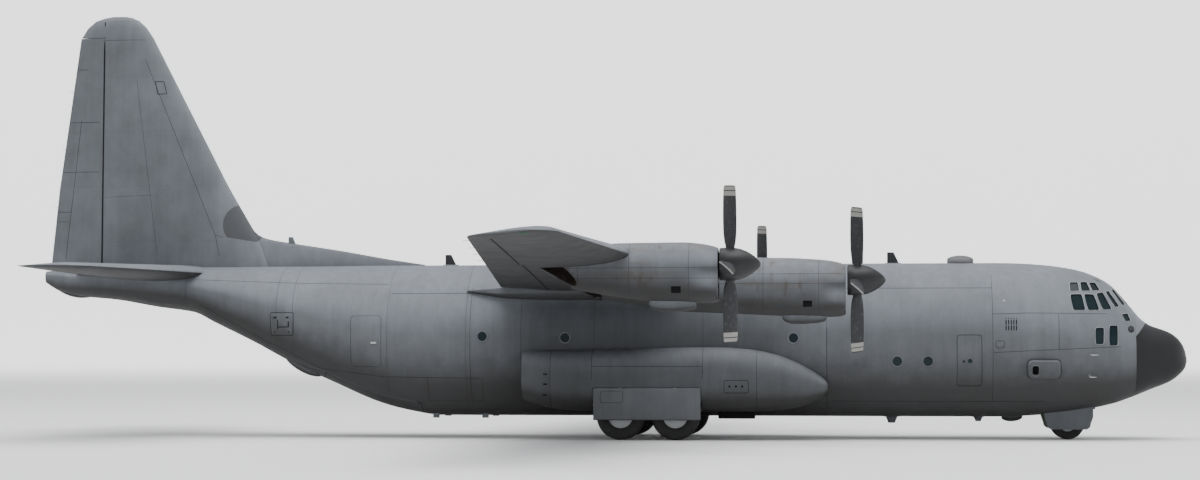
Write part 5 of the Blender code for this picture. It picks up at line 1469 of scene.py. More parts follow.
def sponson(side, sign):
    places = spread(SPONSON[0][0], 5.0, 0.25) + spread(5.15, 6.5, 0.12) + spread(6.56, SPONSON[-1][0], 0.05)
    body = loft(f"{side}_sponson", [sponson_ring(x, sign) for x in places], [SPONSON_SHADED_PAINT, INSIDE],
                smooth_angle=40)
    inner = cutter(*loft_faces([hull_ring(x, 0.02) for x in spread(-4.0, 8.0, 0.5)]))
    low, high = sorted((sign * BAY_Y[0], sign * BAY_Y[1]))
    bay = cutter(*box_points((BAY_X[0], low, 0), (BAY_X[1], high, BAY_TOP)), INSIDE)
    low_x, high_x, _, high_z = MAIN_DOOR
    low, high = sorted((sign * BAY_Y[1] * 0.98, sign * 4))
    way = cutter(*box_points((low_x - RUNNING_GAP, low, 0),
                             (high_x + RUNNING_GAP, high, high_z + RUNNING_GAP)))
    carve_all(body, [inner, bay, way], 40)
    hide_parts(f"{side}_sponson")
    main_door(side, sign)
    main_legs(side, sign)


def main_door(side, sign):
    low_x, high_x, low_z, high_z = MAIN_DOOR
    half = DOOR_THICK / 2
    hinge_y, hinge_z = sign * (DOOR_OUTER_Y - half), high_z - half
    foot = low_z - hinge_z
    name = f"{side}_main_gear_door"
    outline = [(-half, foot + 0.02), (-half + 0.02, foot), (half - 0.02, foot), (half, foot + 0.02)]
    for k in range(13):
        angle = pi * k / 12
        outline.append((half * cos(angle), half * sin(angle)))
    rings = [[(x, hinge_y + y, hinge_z + z) for y, z in outline] for x in (low_x, high_x)]
    door = loft(name, rings, DOOR_PAINT, body=name, smooth_angle=30)
    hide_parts(name)
    points, faces = [], []
    inner_low, inner_high = sorted((hinge_y - sign * half, hinge_y - sign * (half + 0.035)))
    for x in spread(low_x + 0.12, high_x - 0.16, 0.42):
        join(points, faces, box_points((x, inner_low, low_z + 0.06), (x + 0.04, inner_high, high_z - 0.12)))
    for z in (low_z + 0.06, high_z - 0.16):
        join(points, faces, box_points((low_x + 0.12, inner_low, z), (high_x - 0.12, inner_high, z + 0.04)))
    mesh_object(f"{name}_ribs", points, faces, INSIDE, body=name)
    outer_y = hinge_y + sign * (half + 0.001)
    plate = [(x, outer_y, z) for x, z in rounded_outline(0.27, 0.93, 1.10, 1.44, 0.05)]
    line_tube(f"{name}_hatch", plate, 0.004, DARK, body=name, cyclic=True)


def turned(name, place, profile, material, body, steps=72, axis="Y", closed=False):
    """Turn a profile of (place along the axis, radius) about an axis through a point."""
    rings = []
    for along, radius in profile:
        ring = []
        for c, s in circle(steps):
            a, b = radius * c, radius * s
            offset = {"X": (along, a, b), "Y": (a, along, b), "Z": (a, b, along)}[axis]
            ring.append(tuple(p + q for p, q in zip(place, offset)))
        rings.append(ring)
    return loft(name, rings, material, body=body, closed=closed)


def tyre_outline(radius, width, grooves):
    """Half of a tyre's outline on each side of its middle, with round shoulders and grooves."""
    half = width / 2
    rim, shoulder = radius * 0.50, radius * 0.80
    points = [(-half * 0.60, rim)]
    for k in range(11):
        angle = pi / 2 * k / 10
        reach = rim + (shoulder - rim) * (1 - cos(angle)) * 0.9 + 0.012
        points.append((-half * (0.66 + 0.34 * sin(angle)), reach))
    for k in range(1, 11):
        angle = pi / 2 * k / 10
        reach = shoulder + radius * 0.20 * sin(angle) - 0.001
        points.append((-half * (0.58 + 0.42 * cos(angle)), reach))
    tread = []
    for k in range(grooves):
        middle = -half * 0.48 + half * 0.96 * k / (grooves - 1)
        for across, depth in ((-0.013, 0.0), (-0.010, 0.016), (0.010, 0.016), (0.013, 0.0)):
            tread.append((middle + across, radius - depth))
    return points + tread + [(-along, reach) for along, reach in reversed(points)]


def wheel_set(name, place, radius, width, body, grooves=4, first=True):
    """A tyre with its rim: a disc with a hub, and a ring of bolts on both faces."""
    tyre = turned(name, place, tyre_outline(radius, width, grooves), RUBBER, body, closed=True)
    if first:
        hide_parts(body)
    half, rim = width / 2, radius * 0.50
    profile = [(-half * 0.62, rim + 0.018), (-half * 0.70, rim + 0.006), (-half * 0.66, rim - 0.03),
               (-half * 0.35, rim - 0.06), (-half * 0.25, rim * 0.55), (-half * 0.42, rim * 0.42),
               (-half * 0.46, rim * 0.30)]
    profile += [(-along, reach) for along, reach in reversed(profile)]
    disc = turned(f"{name}_rim", place, profile, GEAR_PAINT, body, steps=64)
    points, faces = [], []
    for sign in (1, -1):
        for k in range(10):
            angle = 2 * pi * (k + 0.5) / 10
            away = Vector((rim * 0.62 * cos(angle), sign * half * 0.29, rim * 0.62 * sin(angle)))
            centre = Vector(place) + away
            rings = []
            for depth in (-0.02, 0.02):
                rings.append([centre + Vector((0.028 * c, sign * depth, 0.028 * s)) for c, s in circle(12)])
            join(points, faces, loft_faces(rings))
    mesh_object(f"{name}_rim_bolts", points, faces, STEEL, body=body)


def main_legs(side, sign):
    """Struts, axles and the beam that joins them, and both wheels."""
    y = sign * LEG_Y
    profile = [(-0.03, 0.066), (-0.02, 0.072), (0.02, 0.072), (0.03, 0.066)]
    for place, x in zip(("rear", "front"), MAIN_WHEEL_X):
        name = f"{side}_{place}_main_wheel"
        wheel_set(name, (x, sign * MAIN_WHEEL_Y, MAIN_RADIUS), MAIN_RADIUS, MAIN_WIDTH, name)
        piston = tube_between(f"{name}_piston", (x, y, MAIN_RADIUS - 0.09), (x, y, 1.15), 0.045, STEEL,
                              sides=32)
        barrel = tube_between(f"{name}_barrel", (x, y, COLLAR_Z), (x, y, BAY_TOP - 0.002), 0.060, GEAR_PAINT,
                              sides=32)
        axle = tube_between(f"{name}_axle", (x, sign * (MAIN_WHEEL_Y - 0.18), MAIN_RADIUS),
                            (x, sign * (LEG_Y + 0.03), MAIN_RADIUS), 0.052, STEEL, sides=32)
        collar = turned(f"{name}_collar", (x, y, COLLAR_Z), profile, GEAR_PAINT, BODY, 32, "Z")
        if place == "rear":
            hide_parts(f"{side}_main_gear_legs")
    beam = tube_between(f"{side}_leg_beam", (MAIN_WHEEL_X[0], y, 1.60), (MAIN_WHEEL_X[1], y, 1.60), 0.045,
                        GEAR_PAINT, sides=24)


def nose_bay():
    """The nose gear's bay with its open doors: a box, hollowed and cut down to the doors."""
    low_x, high_x = NOSE_BAY_X
    wall = 0.05
    bay = box("nose_gear_bay", (low_x + 0.001, -NOSE_BAY_Y + 0.001, 0.30),
              (high_x - 0.001, NOSE_BAY_Y - 0.001, NOSE_BAY_TOP), [BARE_PAINT, INSIDE])
    tools = [cutter(*box_points((low_x + wall, -NOSE_BAY_Y + wall, 0),
                                (high_x - wall, NOSE_BAY_Y - wall, NOSE_BAY_TOP - wall)), INSIDE)]
    for near, far in ((high_x - wall - 0.01, high_x + 0.1), (low_x - 0.1, low_x + wall + 0.01)):
        tools.append(cutter(*box_points((near, -2, 0), (far, 2, 0.90))))
    for edge, way in ((high_x, 1), (low_x, -1)):
        corner = [(edge + way * 0.1, NOSE_DOOR_TOP), (edge - way * 0.05, NOSE_DOOR_TOP)]
        for k in range(9):
            angle = pi / 2 * k / 8
            corner.append((edge - way * (0.30 - 0.17 * cos(angle)), 0.47 - 0.175 * sin(angle)))
        corner += [(edge - way * 0.30, 0.1), (edge + way * 0.1, 0.1)]
        tools.append(cutter(*slab(corner, -2, 2)))
    carve_all(bay, tools, 40)
    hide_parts("nose_gear_bay")


def nose_gear():
    x = NOSE_WHEEL_X
    leg = "nose_gear_leg"
    sleeve = turned("nose_leg_sleeve", (x, 0, 0), [(1.45, 0.108), (1.45, 0.16), (1.93, 0.16), (1.93, 0.108)],
                    GEAR_PAINT, BODY, 40, "Z", closed=True)
    barrel = tube_between(leg, (x, 0, COLLAR_Z), (x, 0, 1.795), 0.090, GEAR_PAINT, body=leg, sides=40)
    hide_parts(leg)
    piston = tube_between("nose_leg_piston", (x, 0, 0.42), (x, 0, 1.05), 0.062, STEEL, body=leg, sides=40)
    half = NOSE_TRACK / 2 - NOSE_WIDTH / 2 - 0.02
    hub = tube_between("nose_leg_hub", (x, -half, NOSE_RADIUS), (x, half, NOSE_RADIUS), 0.10, GEAR_PAINT,
                       body=leg, sides=40)
    profile = [(-0.035, 0.092), (-0.025, 0.104), (0.025, 0.104), (0.035, 0.092)]
    collar = turned("nose_leg_collar", (x, 0, COLLAR_Z), profile, GEAR_PAINT, leg, 40, "Z")
    for (ahead, z), (end_ahead, end_z) in (((0.085, 1.02), (0.20, 0.80)), ((0.20, 0.80), (0.075, 0.56))):
        for mark, y in (("a", -0.045), ("b", 0.045)):
            tube_between(f"nose_scissor_{end_z:.2f}_{mark}", (x + ahead, y, z),
                                       (x + end_ahead, y, end_z), 0.018, GEAR_PAINT, body=leg, sides=12)
    profile = [(-0.05, 0.035), (0.00, 0.075), (0.045, 0.085), (0.050, 0.080), (0.040, 0.02)]
    turned("nose_taxi_lamp", (x + 0.12, 0, 1.22), profile, CLEAR_LAMP, leg, 32, "X")
    for side, y in (("right", -NOSE_TRACK / 2), ("left", NOSE_TRACK / 2)):
        wheel_set(f"nose_wheel_{side}", (x, y, NOSE_RADIUS), NOSE_RADIUS, NOSE_WIDTH, "nose_wheels", 3,
                  first=side == "right")
    axle = tube_between("nose_axle", (x, -NOSE_TRACK / 2, NOSE_RADIUS), (x, NOSE_TRACK / 2, NOSE_RADIUS),
                        0.047, STEEL, body="nose_wheels", sides=32)


for gear_side, gear_sign in SIDES:
    sponson(gear_side, gear_sign)
nose_bay()
nose_gear()


PORTHOLES = [(9.81, 2.31), (8.92, 2.31), (5.90, 2.99), (-0.85, 3.00), (-3.33, 3.04)]
PORTHOLE_RADIUS = 0.145
COVERED_PORTHOLE = (7.72, 2.32)
# where the antennas stand: height of the crown and of the belly
CROWN_Z, BELLY_Z = 5.245, 0.665


def skin_path(outline, sign, out, closed=True, step=0.12):
    """Points along an outline on the fuselage's skin, close enough together to follow it."""
    path = []
    pairs = list(zip(outline, outline[1:] + outline[:1])) if closed else list(zip(outline, outline[1:]))
    for (x, z), (next_x, next_z) in pairs:
        count = max(1, int(sqrt((next_x - x) ** 2 + (next_z - z) ** 2) / step))
        for k in range(count):
            share = k / count
            path.append(hull_point(x + (next_x - x) * share, z + (next_z - z) * share, sign, out)[0])
    if not closed:
        path.append(hull_point(*outline[-1], sign, out)[0])
    return path


def skin_line(name, outline, sign, radius=0.006, material=DARK, closed=True, out=0.0):
    item = line_tube(name, skin_path(outline, sign, out, closed), radius, material, BODY, closed)


def skin_plate(name, outline, sign, thick, material, taper=0.0, body=BODY):
    """A raised plate that follows the skin; taper draws its top in towards its middle."""
    middle_x = sum(x for x, _ in outline) / len(outline)
    middle_z = sum(z for _, z in outline) / len(outline)
    layers = ((-0.03, 0.0), (thick * 0.7, 0.0), (thick, taper * 0.4), (thick, taper), (thick, 0.5),
              (thick, 0.999))
    rings = []
    for depth, shrink in layers:
        ring = []
        for x, z in outline:
            near_x, near_z = x + (middle_x - x) * shrink, z + (middle_z - z) * shrink
            ring.append(tuple(hull_point(near_x, near_z, sign, depth)[0]))
        rings.append(ring)
    item = loft(name, rings, material, body=body, smooth_angle=40)
    return item


def circle_outline(x, z, radius, steps=32):
    return [(x + radius * c, z + radius * s) for c, s in circle(steps)]


def skin_ring(outline, sign, out):
    """An outline's points on the fuselage's skin, or a little out of it."""
    return [tuple(hull_point(x, z, sign, out)[0]) for x, z in outline]


def portholes():
    for side, sign in SIDES:
        for number, (x, z) in enumerate(PORTHOLES):
            rings = []
            for share, out in ((0.93, -0.01), (0.93, 0.012), (1.02, 0.018), (1.20, 0.014), (1.23, -0.01)):
                rings.append(skin_ring(circle_outline(x, z, PORTHOLE_RADIUS * share), sign, out))
            loft(f"{side}_porthole_ring_{number}", rings, BARE_PAINT, closed=True)
            skin_plate(f"{side}_porthole_glass_{number}", circle_outline(x, z, PORTHOLE_RADIUS * 0.95), sign,
                       0.006, GLASS, 0.2)
        x, z = COVERED_PORTHOLE
        skin_plate(f"{side}_covered_porthole", circle_outline(x, z, 0.11), sign, 0.008, BARE_PAINT, 0.1)


def blade_antenna(name, x, z, high, chord, lean, thick=0.03, down=False, paint=BLADE_COAT):
    """A thin swept antenna on the crown, or under the belly."""
    way = -1 if down else 1
    rings = []
    for share in (0.0, 0.25, 0.5, 0.75, 0.93, 1.0):
        width = chord * (1 - 0.45 * share)
        place = x - lean * share
        ring = []
        for c, s in circle(24):
            ring.append((place + width / 2 * c, thick / 2 * s * (1 - 0.3 * c), z + way * high * share))
        rings.append(ring)
    item = loft(name, rings, paint, smooth_angle=50)
    foot = oval_foot(f"{name}_foot", x, z, chord * 0.72, thick * 1.7, way)


def oval_foot(name, x, z, half_x, half_y, way):
    """The low oval plate that an antenna stands on; way is 1 above the fuselage and -1 below it."""
    high = 0.018 * way
    rings = []
    for share, up in ((1.0, -0.03 * way), (1.0, high * 0.4), (0.86, high), (0.3, high)):
        rings.append([(x + half_x * share * c, half_y * share * s, z + up) for c, s in circle(32)])
    return loft(name, rings, BARE_PAINT, smooth_angle=50)


def hull_z(x, y):
    """Height of the fuselage's crown beside its middle."""
    ring = [point for point in hull_ring(x) if point[2] > 2.9]
    near = sorted(ring, key=lambda point: abs(point[1] - y))[:2]
    return sum(point[2] for point in near) / 2


def blister(name, low, high, centre_y, surface_z, half_y, depth, body=BODY, material=BARE_PAINT, power=0.5):
    """A long smooth swelling under (negative depth) or over the skin; surface_z is a function of x."""
    rings = []
    for k in range(1, 24):
        share = k / 24
        x = low + (high - low) * share
        swell = sin(pi * share) ** power
        base = surface_z(x)
        ring = []
        for across, up in circle(24):
            reach = depth if up > 0 else 0.25 * depth
            ring.append((x, centre_y + half_y * swell * across, base + reach * swell * up))
        rings.append(ring)
    loft(name, rings, material, body=body, smooth_angle=60)


def top_and_belly():
    blade_antenna("crown_antenna_front", 8.84, CROWN_Z, 0.34, 0.36, 0.08)
    blade_antenna("crown_antenna_rear", -4.65, CROWN_Z, 0.32, 0.34, 0.08)
    blade_antenna("fin_root_antenna", -9.62, 5.84, 0.30, 0.26, 0.06, paint=BARE_PAINT)
    blade_antenna("belly_antenna_rear", 8.77, BELLY_Z, 0.205, 0.36, 0.0, thick=0.10, down=True,
                  paint=BARE_PAINT)
    blade_antenna("belly_antenna_front", 11.34, BELLY_Z, 0.15, 0.28, 0.0, thick=0.09, down=True,
                  paint=BARE_PAINT)
    blister("crown_dome", 10.42, 11.26, 0.0, lambda x: smooth(CROWN, x) - 0.02, 0.30, 0.25, power=0.25,
            material=DOME_PAINT)
    blister("belly_dome", 12.00, 12.66, -0.10, lambda x: smooth(KEEL, x) + 0.02, 0.24, -0.17, power=0.35)
    blister("tail_fairing", -17.10, -16.02, 0.0, lambda x: smooth(KEEL, x) + 0.03, 0.24, -0.10, power=0.6)
    blister("brow_fairing", 14.66, 14.96, -0.62, lambda x: hull_z(x, 0.62) - 0.01, 0.07, 0.06)
    for side, sign in SIDES:
        blister(f"{side}_cargo_door_strake", -9.62, -8.47, sign * 0.86,
                lambda x: smooth(KEEL, x) + 0.11, 0.12, -0.20, body="cargo_door")
        for number, x in enumerate((-4.9, -3.4)):
            item = box(f"{side}_belly_mast_{number}", (x - 0.10, sign * 1.05 - 0.03, 0.60),
                       (x + 0.10, sign * 1.05 + 0.03, 0.74), [BARE_PAINT], bevel=0.02)
        pad = box(f"{side}_belly_pad", (3.66, sign * 1.62 - 0.12, 0.615), (4.75, sign * 1.62 + 0.12, 0.90),
                  [DARK], bevel=0.03)
    profile = [(-0.02, 0.10), (0.03, 0.10), (0.10, 0.075), (0.135, 0.03)]
    lamp = turned("crown_lamp", (-3.2, 0, 5.235), profile, RED_GLASS, BODY, 32, "Z")


def air_scoop(side, sign):
    """The fairing of the air conditioning's inlet low on the nose, open at its rear."""
    outline = rounded_outline(12.69, 13.60, 1.85, 2.34, 0.12, steps=8)
    plate = skin_plate(f"{side}_air_scoop", outline, sign, 0.15, BARE_PAINT, 0.08)
    centre = hull_point(12.86, 2.09, sign)[0]
    outline = rounded_outline(12.80, 12.98, 1.93, 2.20, 0.06, steps=6)
    # painted shade: the hole's walls are near black
    hole = [[(x, centre.y + sign * reach, z) for x, z in outline] for reach in (0.02, 0.30)]
    carve_all(plate, [cutter(*loft_faces(hole), DARK)], 40)
    rim = rounded_outline(12.79, 12.99, 1.92, 2.21, 0.065, steps=6)
    skin_line(f"{side}_air_scoop_rim", rim, sign, 0.012, BARE_PAINT, out=0.146)
    seam = rounded_outline(12.65, 13.64, 1.81, 2.38, 0.15, steps=6)
    skin_line(f"{side}_air_scoop_seam", seam, sign, 0.005)


def louvre(side, sign):
    """A plate with two rows of upright slots and a row of holes over them; the slots and holes are
    near-black plates on the skin, painted shade where they open.
    """
    plate = rounded_outline(12.00, 12.42, 3.17, 3.61, 0.02, steps=2)
    skin_plate(f"{side}_louvre_plate", plate, sign, 0.006, BARE_PAINT)
    points, faces = [], []
    for column in range(5):
        x = 12.06 + 0.075 * column
        outlines = [rounded_outline(x - 0.014, x + 0.014, low, high, 0.012, steps=2)
                    for low, high in ((3.21, 3.36), (3.38, 3.52))]
        for outline in outlines + [circle_outline(x, 3.56, 0.014, 10)]:
            join(points, faces, loft_faces([skin_ring(outline, sign, out) for out in (0.0, 0.012)]))
    mesh_object(f"{side}_louvre_slots", points, faces, DARK)


def probes(side, sign):
    """Two short masts beside the nose, each with a tube that points forward."""
    for number, (x, z) in enumerate(((14.52, 2.50), (14.46, 1.89))):
        place, normal = hull_point(x, z, sign)
        tip = place + normal * 0.12
        mast = tube_between(f"{side}_probe_mast_{number}", place - normal * 0.01, tip, 0.020, STEEL,
                            end_radius=0.013)
        probe = tube_between(f"{side}_probe_{number}", tip - Vector((0.03, 0, 0)),
                             tip + Vector((0.16, 0, 0)), 0.014, STEEL, end_radius=0.006)
        outline = rounded_outline(x - 0.05, x + 0.05, z - 0.04, z + 0.04, 0.03)
        foot = skin_plate(f"{side}_probe_foot_{number}", outline, sign, 0.01, LIGHT_PAINT)


# seams that show on both sides of the fuselage, as (x, z) corners
SKIN_SEAMS = {
    "nose_joint": [(11.68, 4.85), (11.68, 1.10)],
    "louvre_seam": [(11.66, 3.69), (12.75, 3.72)],
    "cockpit_sill": [(12.75, 3.72), (15.00, 3.70)],
    "nose_seam": [(11.70, 2.57), (13.60, 2.66), (15.40, 2.74)],
    "nose_frame": [(13.58, 3.70), (13.58, 2.66)],
    "wing_joint": [(6.87, 3.30), (6.87, 1.06)],
    "crown_seam": [(6.95, 4.46), (11.68, 4.46)],
    "floor_seam": [(6.95, 1.14), (13.20, 1.14)],
    "aft_crown_seam": [(-6.15, 4.34), (-3.75, 4.34)],
    "aft_joint": [(-3.70, 4.50), (-3.70, 1.05)],
    "ramp_sill": [(-12.10, 4.02), (-10.20, 3.00), (-8.30, 2.08), (-6.30, 1.84), (-3.40, 1.80)],
    "ramp_panel": [(-5.00, 1.80), (-5.00, 1.12), (-3.36, 1.12), (-3.36, 1.80)],
    "aft_waist": [(-12.30, 4.78), (-9.00, 4.66), (-6.30, 4.62)],
}


def side_details():
    for side, sign in SIDES:
        air_scoop(side, sign)
        louvre(side, sign)
        skin_plate(f"{side}_small_vent", rounded_outline(11.79, 11.99, 2.73, 2.88, 0.05), sign, 0.014,
                   BARE_PAINT, 0.15)
        skin_line(f"{side}_small_vent_seam", rounded_outline(11.76, 12.02, 2.70, 2.91, 0.06), sign, 0.004)
        skin_plate(f"{side}_static_port", circle_outline(12.02, 4.08, 0.035, 16), sign, 0.006,
                   LIGHT_PAINT)
        skin_plate(f"{side}_nose_vent", circle_outline(15.72, 3.25, 0.080, 24), sign, 0.018, BLADE_COAT,
                   0.2)
        skin_line(f"{side}_nose_vent_rim", circle_outline(15.72, 3.25, 0.090, 24), sign, 0.010)
        probes(side, sign)
        for name, outline in SKIN_SEAMS.items():
            skin_line(f"{side}_{name}", outline, sign, 0.0045, closed=False)
        dispenser(side, sign)
        door_fittings(side, sign)


DISPENSER = (-9.78, -9.13, 3.12, 3.73)
# its slots: middle from the plate's lower aft corner, half sizes
DISPENSER_SLOTS = [
    (0.10, 0.50, 0.030, 0.018), (0.15, 0.50, 0.018, 0.030), (0.50, 0.50, 0.045, 0.020),
    (0.535, 0.30, 0.016, 0.085), (0.36, 0.22, 0.17, 0.012), (0.20, 0.30, 0.012, 0.14),
    (0.10, 0.08, 0.020, 0.012), (0.55, 0.08, 0.022, 0.014),
]


def dispenser(side, sign):
    """The square plate with its slots on the aft fuselage, in a raised frame; the slots are near-black
    plates, painted shade where they open.
    """
    plate = rounded_outline(*DISPENSER, 0.03, steps=3)
    skin_plate(f"{side}_dispenser", plate, sign, 0.035, BARE_PAINT, 0.05)
    points, faces = [], []
    for right, up, half_x, half_z in DISPENSER_SLOTS:
        x, z = DISPENSER[0] + right, DISPENSER[2] + up
        outline = rounded_outline(x - half_x, x + half_x, z - half_z, z + half_z, 0.008, steps=2)
        join(points, faces, loft_faces([skin_ring(outline, sign, out) for out in (0.02, 0.040)]))
    mesh_object(f"{side}_dispenser_slots", points, faces, DARK)
    skin_line(f"{side}_dispenser_seam", rounded_outline(*DISPENSER, 0.04, 0.04), sign, 0.006)


def door_fittings(side, sign):
    x, z = -6.62, 2.86
    handle = rounded_outline(x - 0.09, x + 0.09, z - 0.03, z + 0.03, 0.025)
    skin_plate(f"{side}_paratroop_door_handle", handle, sign, 0.03, STEEL, 0.1)
    if sign < 0:
        skin_plate("emergency_window", circle_outline(11.02, 2.32, 0.062, 24), sign, 0.006, GLASS, 0.2)
        skin_line("emergency_window_rim", circle_outline(11.02, 2.32, 0.075, 24), sign, 0.009, BARE_PAINT)
        skin_plate("emergency_handle", circle_outline(10.84, 2.31, 0.030, 16), sign, 0.008, DARK)
        skin_line("emergency_door_edge", rounded_outline(*EMERGENCY_DOOR, 0.09), sign, 0.004)
    else:
        skin_plate("crew_door_handle", rounded_outline(11.88, 12.06, 1.86, 1.92, 0.028), sign, 0.03, STEEL,
                   0.1, body="crew_door")
        skin_plate("crew_door_window", circle_outline(12.18, 2.30, 0.085, 24), sign, 0.006, GLASS, 0.2,
                   body="crew_door")
        points, faces = [], []
        for z in (1.30, 1.60, 1.90, 2.20):
            y = hull_y(12.2, z, VISIBLE_SKIN)
            join(points, faces, box_points((11.95, y - 0.14, z - 0.02), (12.42, y + 0.02, z + 0.02)))
        mesh_object("crew_door_steps", points, faces, STEEL, body="crew_door")


def sponson_side(x):
    """How far the sponson reaches out at a station."""
    return max(y for _, y, _ in sponson_ring(x, 1))


def on_sponson(x, z, sign, out):
    """A point on the sponson's side at a height."""
    return (x, sign * (sponson_side(x) + out), z)


def sponson_details():
    for side, sign in SIDES:
        hatch = [on_sponson(x, z, sign, -0.001) for x, z in rounded_outline(3.89, 4.60, 1.39, 1.76, 0.06)]
        line_tube(f"{side}_sponson_hatch", hatch, 0.006, DARK, cyclic=True)
        points, faces = [], []
        for middle in (4.05, 4.24, 4.42):
            outline = rounded_outline(middle - 0.03, middle + 0.03, 1.55, 1.61, 0.02, steps=3)
            rings = [[on_sponson(x, z, sign, out) for x, z in outline] for out in (-0.02, 0.008)]
            join(points, faces, loft_faces(rings))
        for x, z in ((-1.37, 1.93), (-1.37, 1.64), (-1.39, 1.32)):
            some, sides = box_points((x - 0.06, 0, z - 0.02), (x + 0.06, 1, z + 0.02))
            reach = sponson_side(x)
            join(points, faces, ([(a, sign * (reach - 0.02 + 0.03 * b), c) for a, b, c in some], sides))
        mesh_object(f"{side}_sponson_latches", points, faces, DARK)
        for x in (-1.23, 0.00, 3.26, 4.84):
            ring = sponson_ring(x, sign)
            lowest = 1.58 if -0.1 < x < 3.4 else 0.9
            seam = [point for point in ring[-13:] + ring[:14] if point[2] > lowest]
            line_tube(f"{side}_sponson_seam_{x:.1f}", seam, 0.0045, DARK)
        line = [on_sponson(x, 2.16, sign, -0.008) for x in spread(0.0, 3.26, 0.3)]
        line_tube(f"{side}_sponson_long_seam", line, 0.004, DARK)


def fin_y(x, z):
    front, rear, half = (straight(FIN, z, column) for column in range(1, 4))
    return half * thickness_at(min(max((front - x) / (front - rear), 0.0), 1.0))


def hinge_line_y(x, z):
    return fin_y(x, z) * 0.985


def rudder_y(x, z):
    front, rear, half = (straight(FIN, z, column) for column in range(1, 4))
    radius = half * thickness_at((front - RUDDER_HINGE_X) / (front - rear))
    share = (RUDDER_HINGE_X - x) / (RUDDER_HINGE_X - rear)
    return radius + (TRAILING_EDGE - radius) * share


# ribs of the rudder: z, forward end x
RUDDER_RIBS = ((11.42, -16.19), (9.76, -15.76), (8.20, -15.76), (6.95, -16.66), (6.65, -16.75))


def tail_line(name, places, face, sign, body=BODY, radius=0.0045, closed=False):
    path = []
    for (x, z), (next_x, next_z) in zip(places, places[1:] + places[:1] if closed else places[1:]):
        for k in range(8):
            a, b = x + (next_x - x) * k / 8, z + (next_z - z) * k / 8
            path.append((a, sign * face(a, b), b))
    if not closed:
        path.append((places[-1][0], sign * face(*places[-1]), places[-1][1]))
    line_tube(name, path, radius, DARK, body, closed)


def tail_details():
    hinge_x = RUDDER_HINGE_X
    for side, sign in SIDES:
        tail_line(f"{side}_fin_front_spar", [(-14.29, 11.70), (-11.98, 6.20), (-11.83, 5.54)], fin_y, sign)
        tail_line(f"{side}_fin_middle_line", [(-14.55, 11.06), (-13.82, 5.59)], fin_y, sign, radius=0.003)
        tail_line(f"{side}_fin_root_line", [(-11.98, 6.20), (-11.72, 6.12)], fin_y, sign, radius=0.004)
        tail_line(f"{side}_fin_cap_line", [(-14.15, 12.32), (hinge_x + 0.05, 12.32)], fin_y, sign,
                  radius=0.004)
        tail_line(f"{side}_fin_low_rib", [(-13.95, 7.45), (hinge_x + 0.1, 7.40)], fin_y, sign, radius=0.003)
        hatch = [(-13.96, 11.00), (-13.70, 11.00), (-13.60, 10.62), (-13.88, 10.60)]
        tail_line(f"{side}_fin_hatch", hatch, fin_y, sign, closed=True, radius=0.009)
        tail_line(f"{side}_fin_hinge_line", [(hinge_x + 0.02, 12.90), (hinge_x + 0.02, 5.30)], hinge_line_y,
                  sign, radius=0.020)
        for number, (z, x) in enumerate(RUDDER_RIBS):
            rib = [(x, z), (straight(FIN, z, 2) + 0.03, z)]
            tail_line(f"{side}_rudder_rib_{number}", rib, rudder_y, sign, "rudder")
        tab = [(-16.37, 9.83), (-16.54, 8.20), (-16.84, 5.48)]
        tail_line(f"{side}_rudder_tab", tab, rudder_y, sign, "rudder")
    profile = [(-0.04, 0.07), (0.03, 0.07), (0.07, 0.055), (0.085, 0.02)]
    lamp = turned("fin_lamp", (-15.32, 0, 12.985), profile, BLADE_COAT, BODY, 24, "Z")
    for number, share in enumerate((0.12, 0.42, 0.72)):
        z = 6.4 + share * 6.0
        rear = straight(FIN, z, 2)
        wick = tube_between(f"rudder_wick_{number}", (rear + 0.01, 0, z), (rear - 0.14, 0, z), 0.005,
                            BLADE_COAT, body="rudder", sides=8)


def hinge_lines(side, sign):
    """Dark lines where the wing's skin ends over the aileron and the flap, above and below."""
    for name, spans, share in (("aileron", AILERON_SPAN, AILERON_HINGE), ("flap", FLAP_SPAN, FLAP_HINGE)):
        for where, way, part in (("upper", 1, 0), ("lower", -1, 1)):
            line = []
            for span in spread(spans[0], spans[1], 0.5):
                front_x, front_z, rear_x, rear_z, ratio = station(WING, span)
                chord = front_x - rear_x
                ahead = share - 0.012
                half = thickness_at(ahead) * ratio * chord * WING_SIDES[part]
                line.append((front_x - ahead * chord, sign * span,
                             front_z + ahead * (rear_z - front_z) + way * half))
            line_tube(f"{side}_{name}_line_{where}", line, 0.014, DARK)


def tip_lamps():
    for (side, sign), material in zip(SIDES, (RED_GLASS, GREEN_GLASS)):
        hinge_lines(side, sign)
        rings = []
        for x, radius in ((0.62, 0.01), (0.56, 0.04), (0.44, 0.055), (0.30, 0.05), (0.20, 0.01)):
            rings.append([(x, sign * 20.10 + 0.7 * radius * c, 5.262 + radius * s) for c, s in circle(24)])
        loft(f"{side}_tip_lamp", rings, material, smooth_angle=60)
        for number, span in enumerate((12.6, 14.6, 16.6, 18.6)):
            _, _, rear_x, rear_z, _ = station(WING, span)
            wick = tube_between(f"{side}_aileron_wick_{number}", (rear_x + 0.02, sign * span, rear_z),
                                (rear_x - 0.15, sign * span, rear_z - 0.01), 0.005, BLADE_COAT,
                                body=f"{side}_aileron", sides=8)


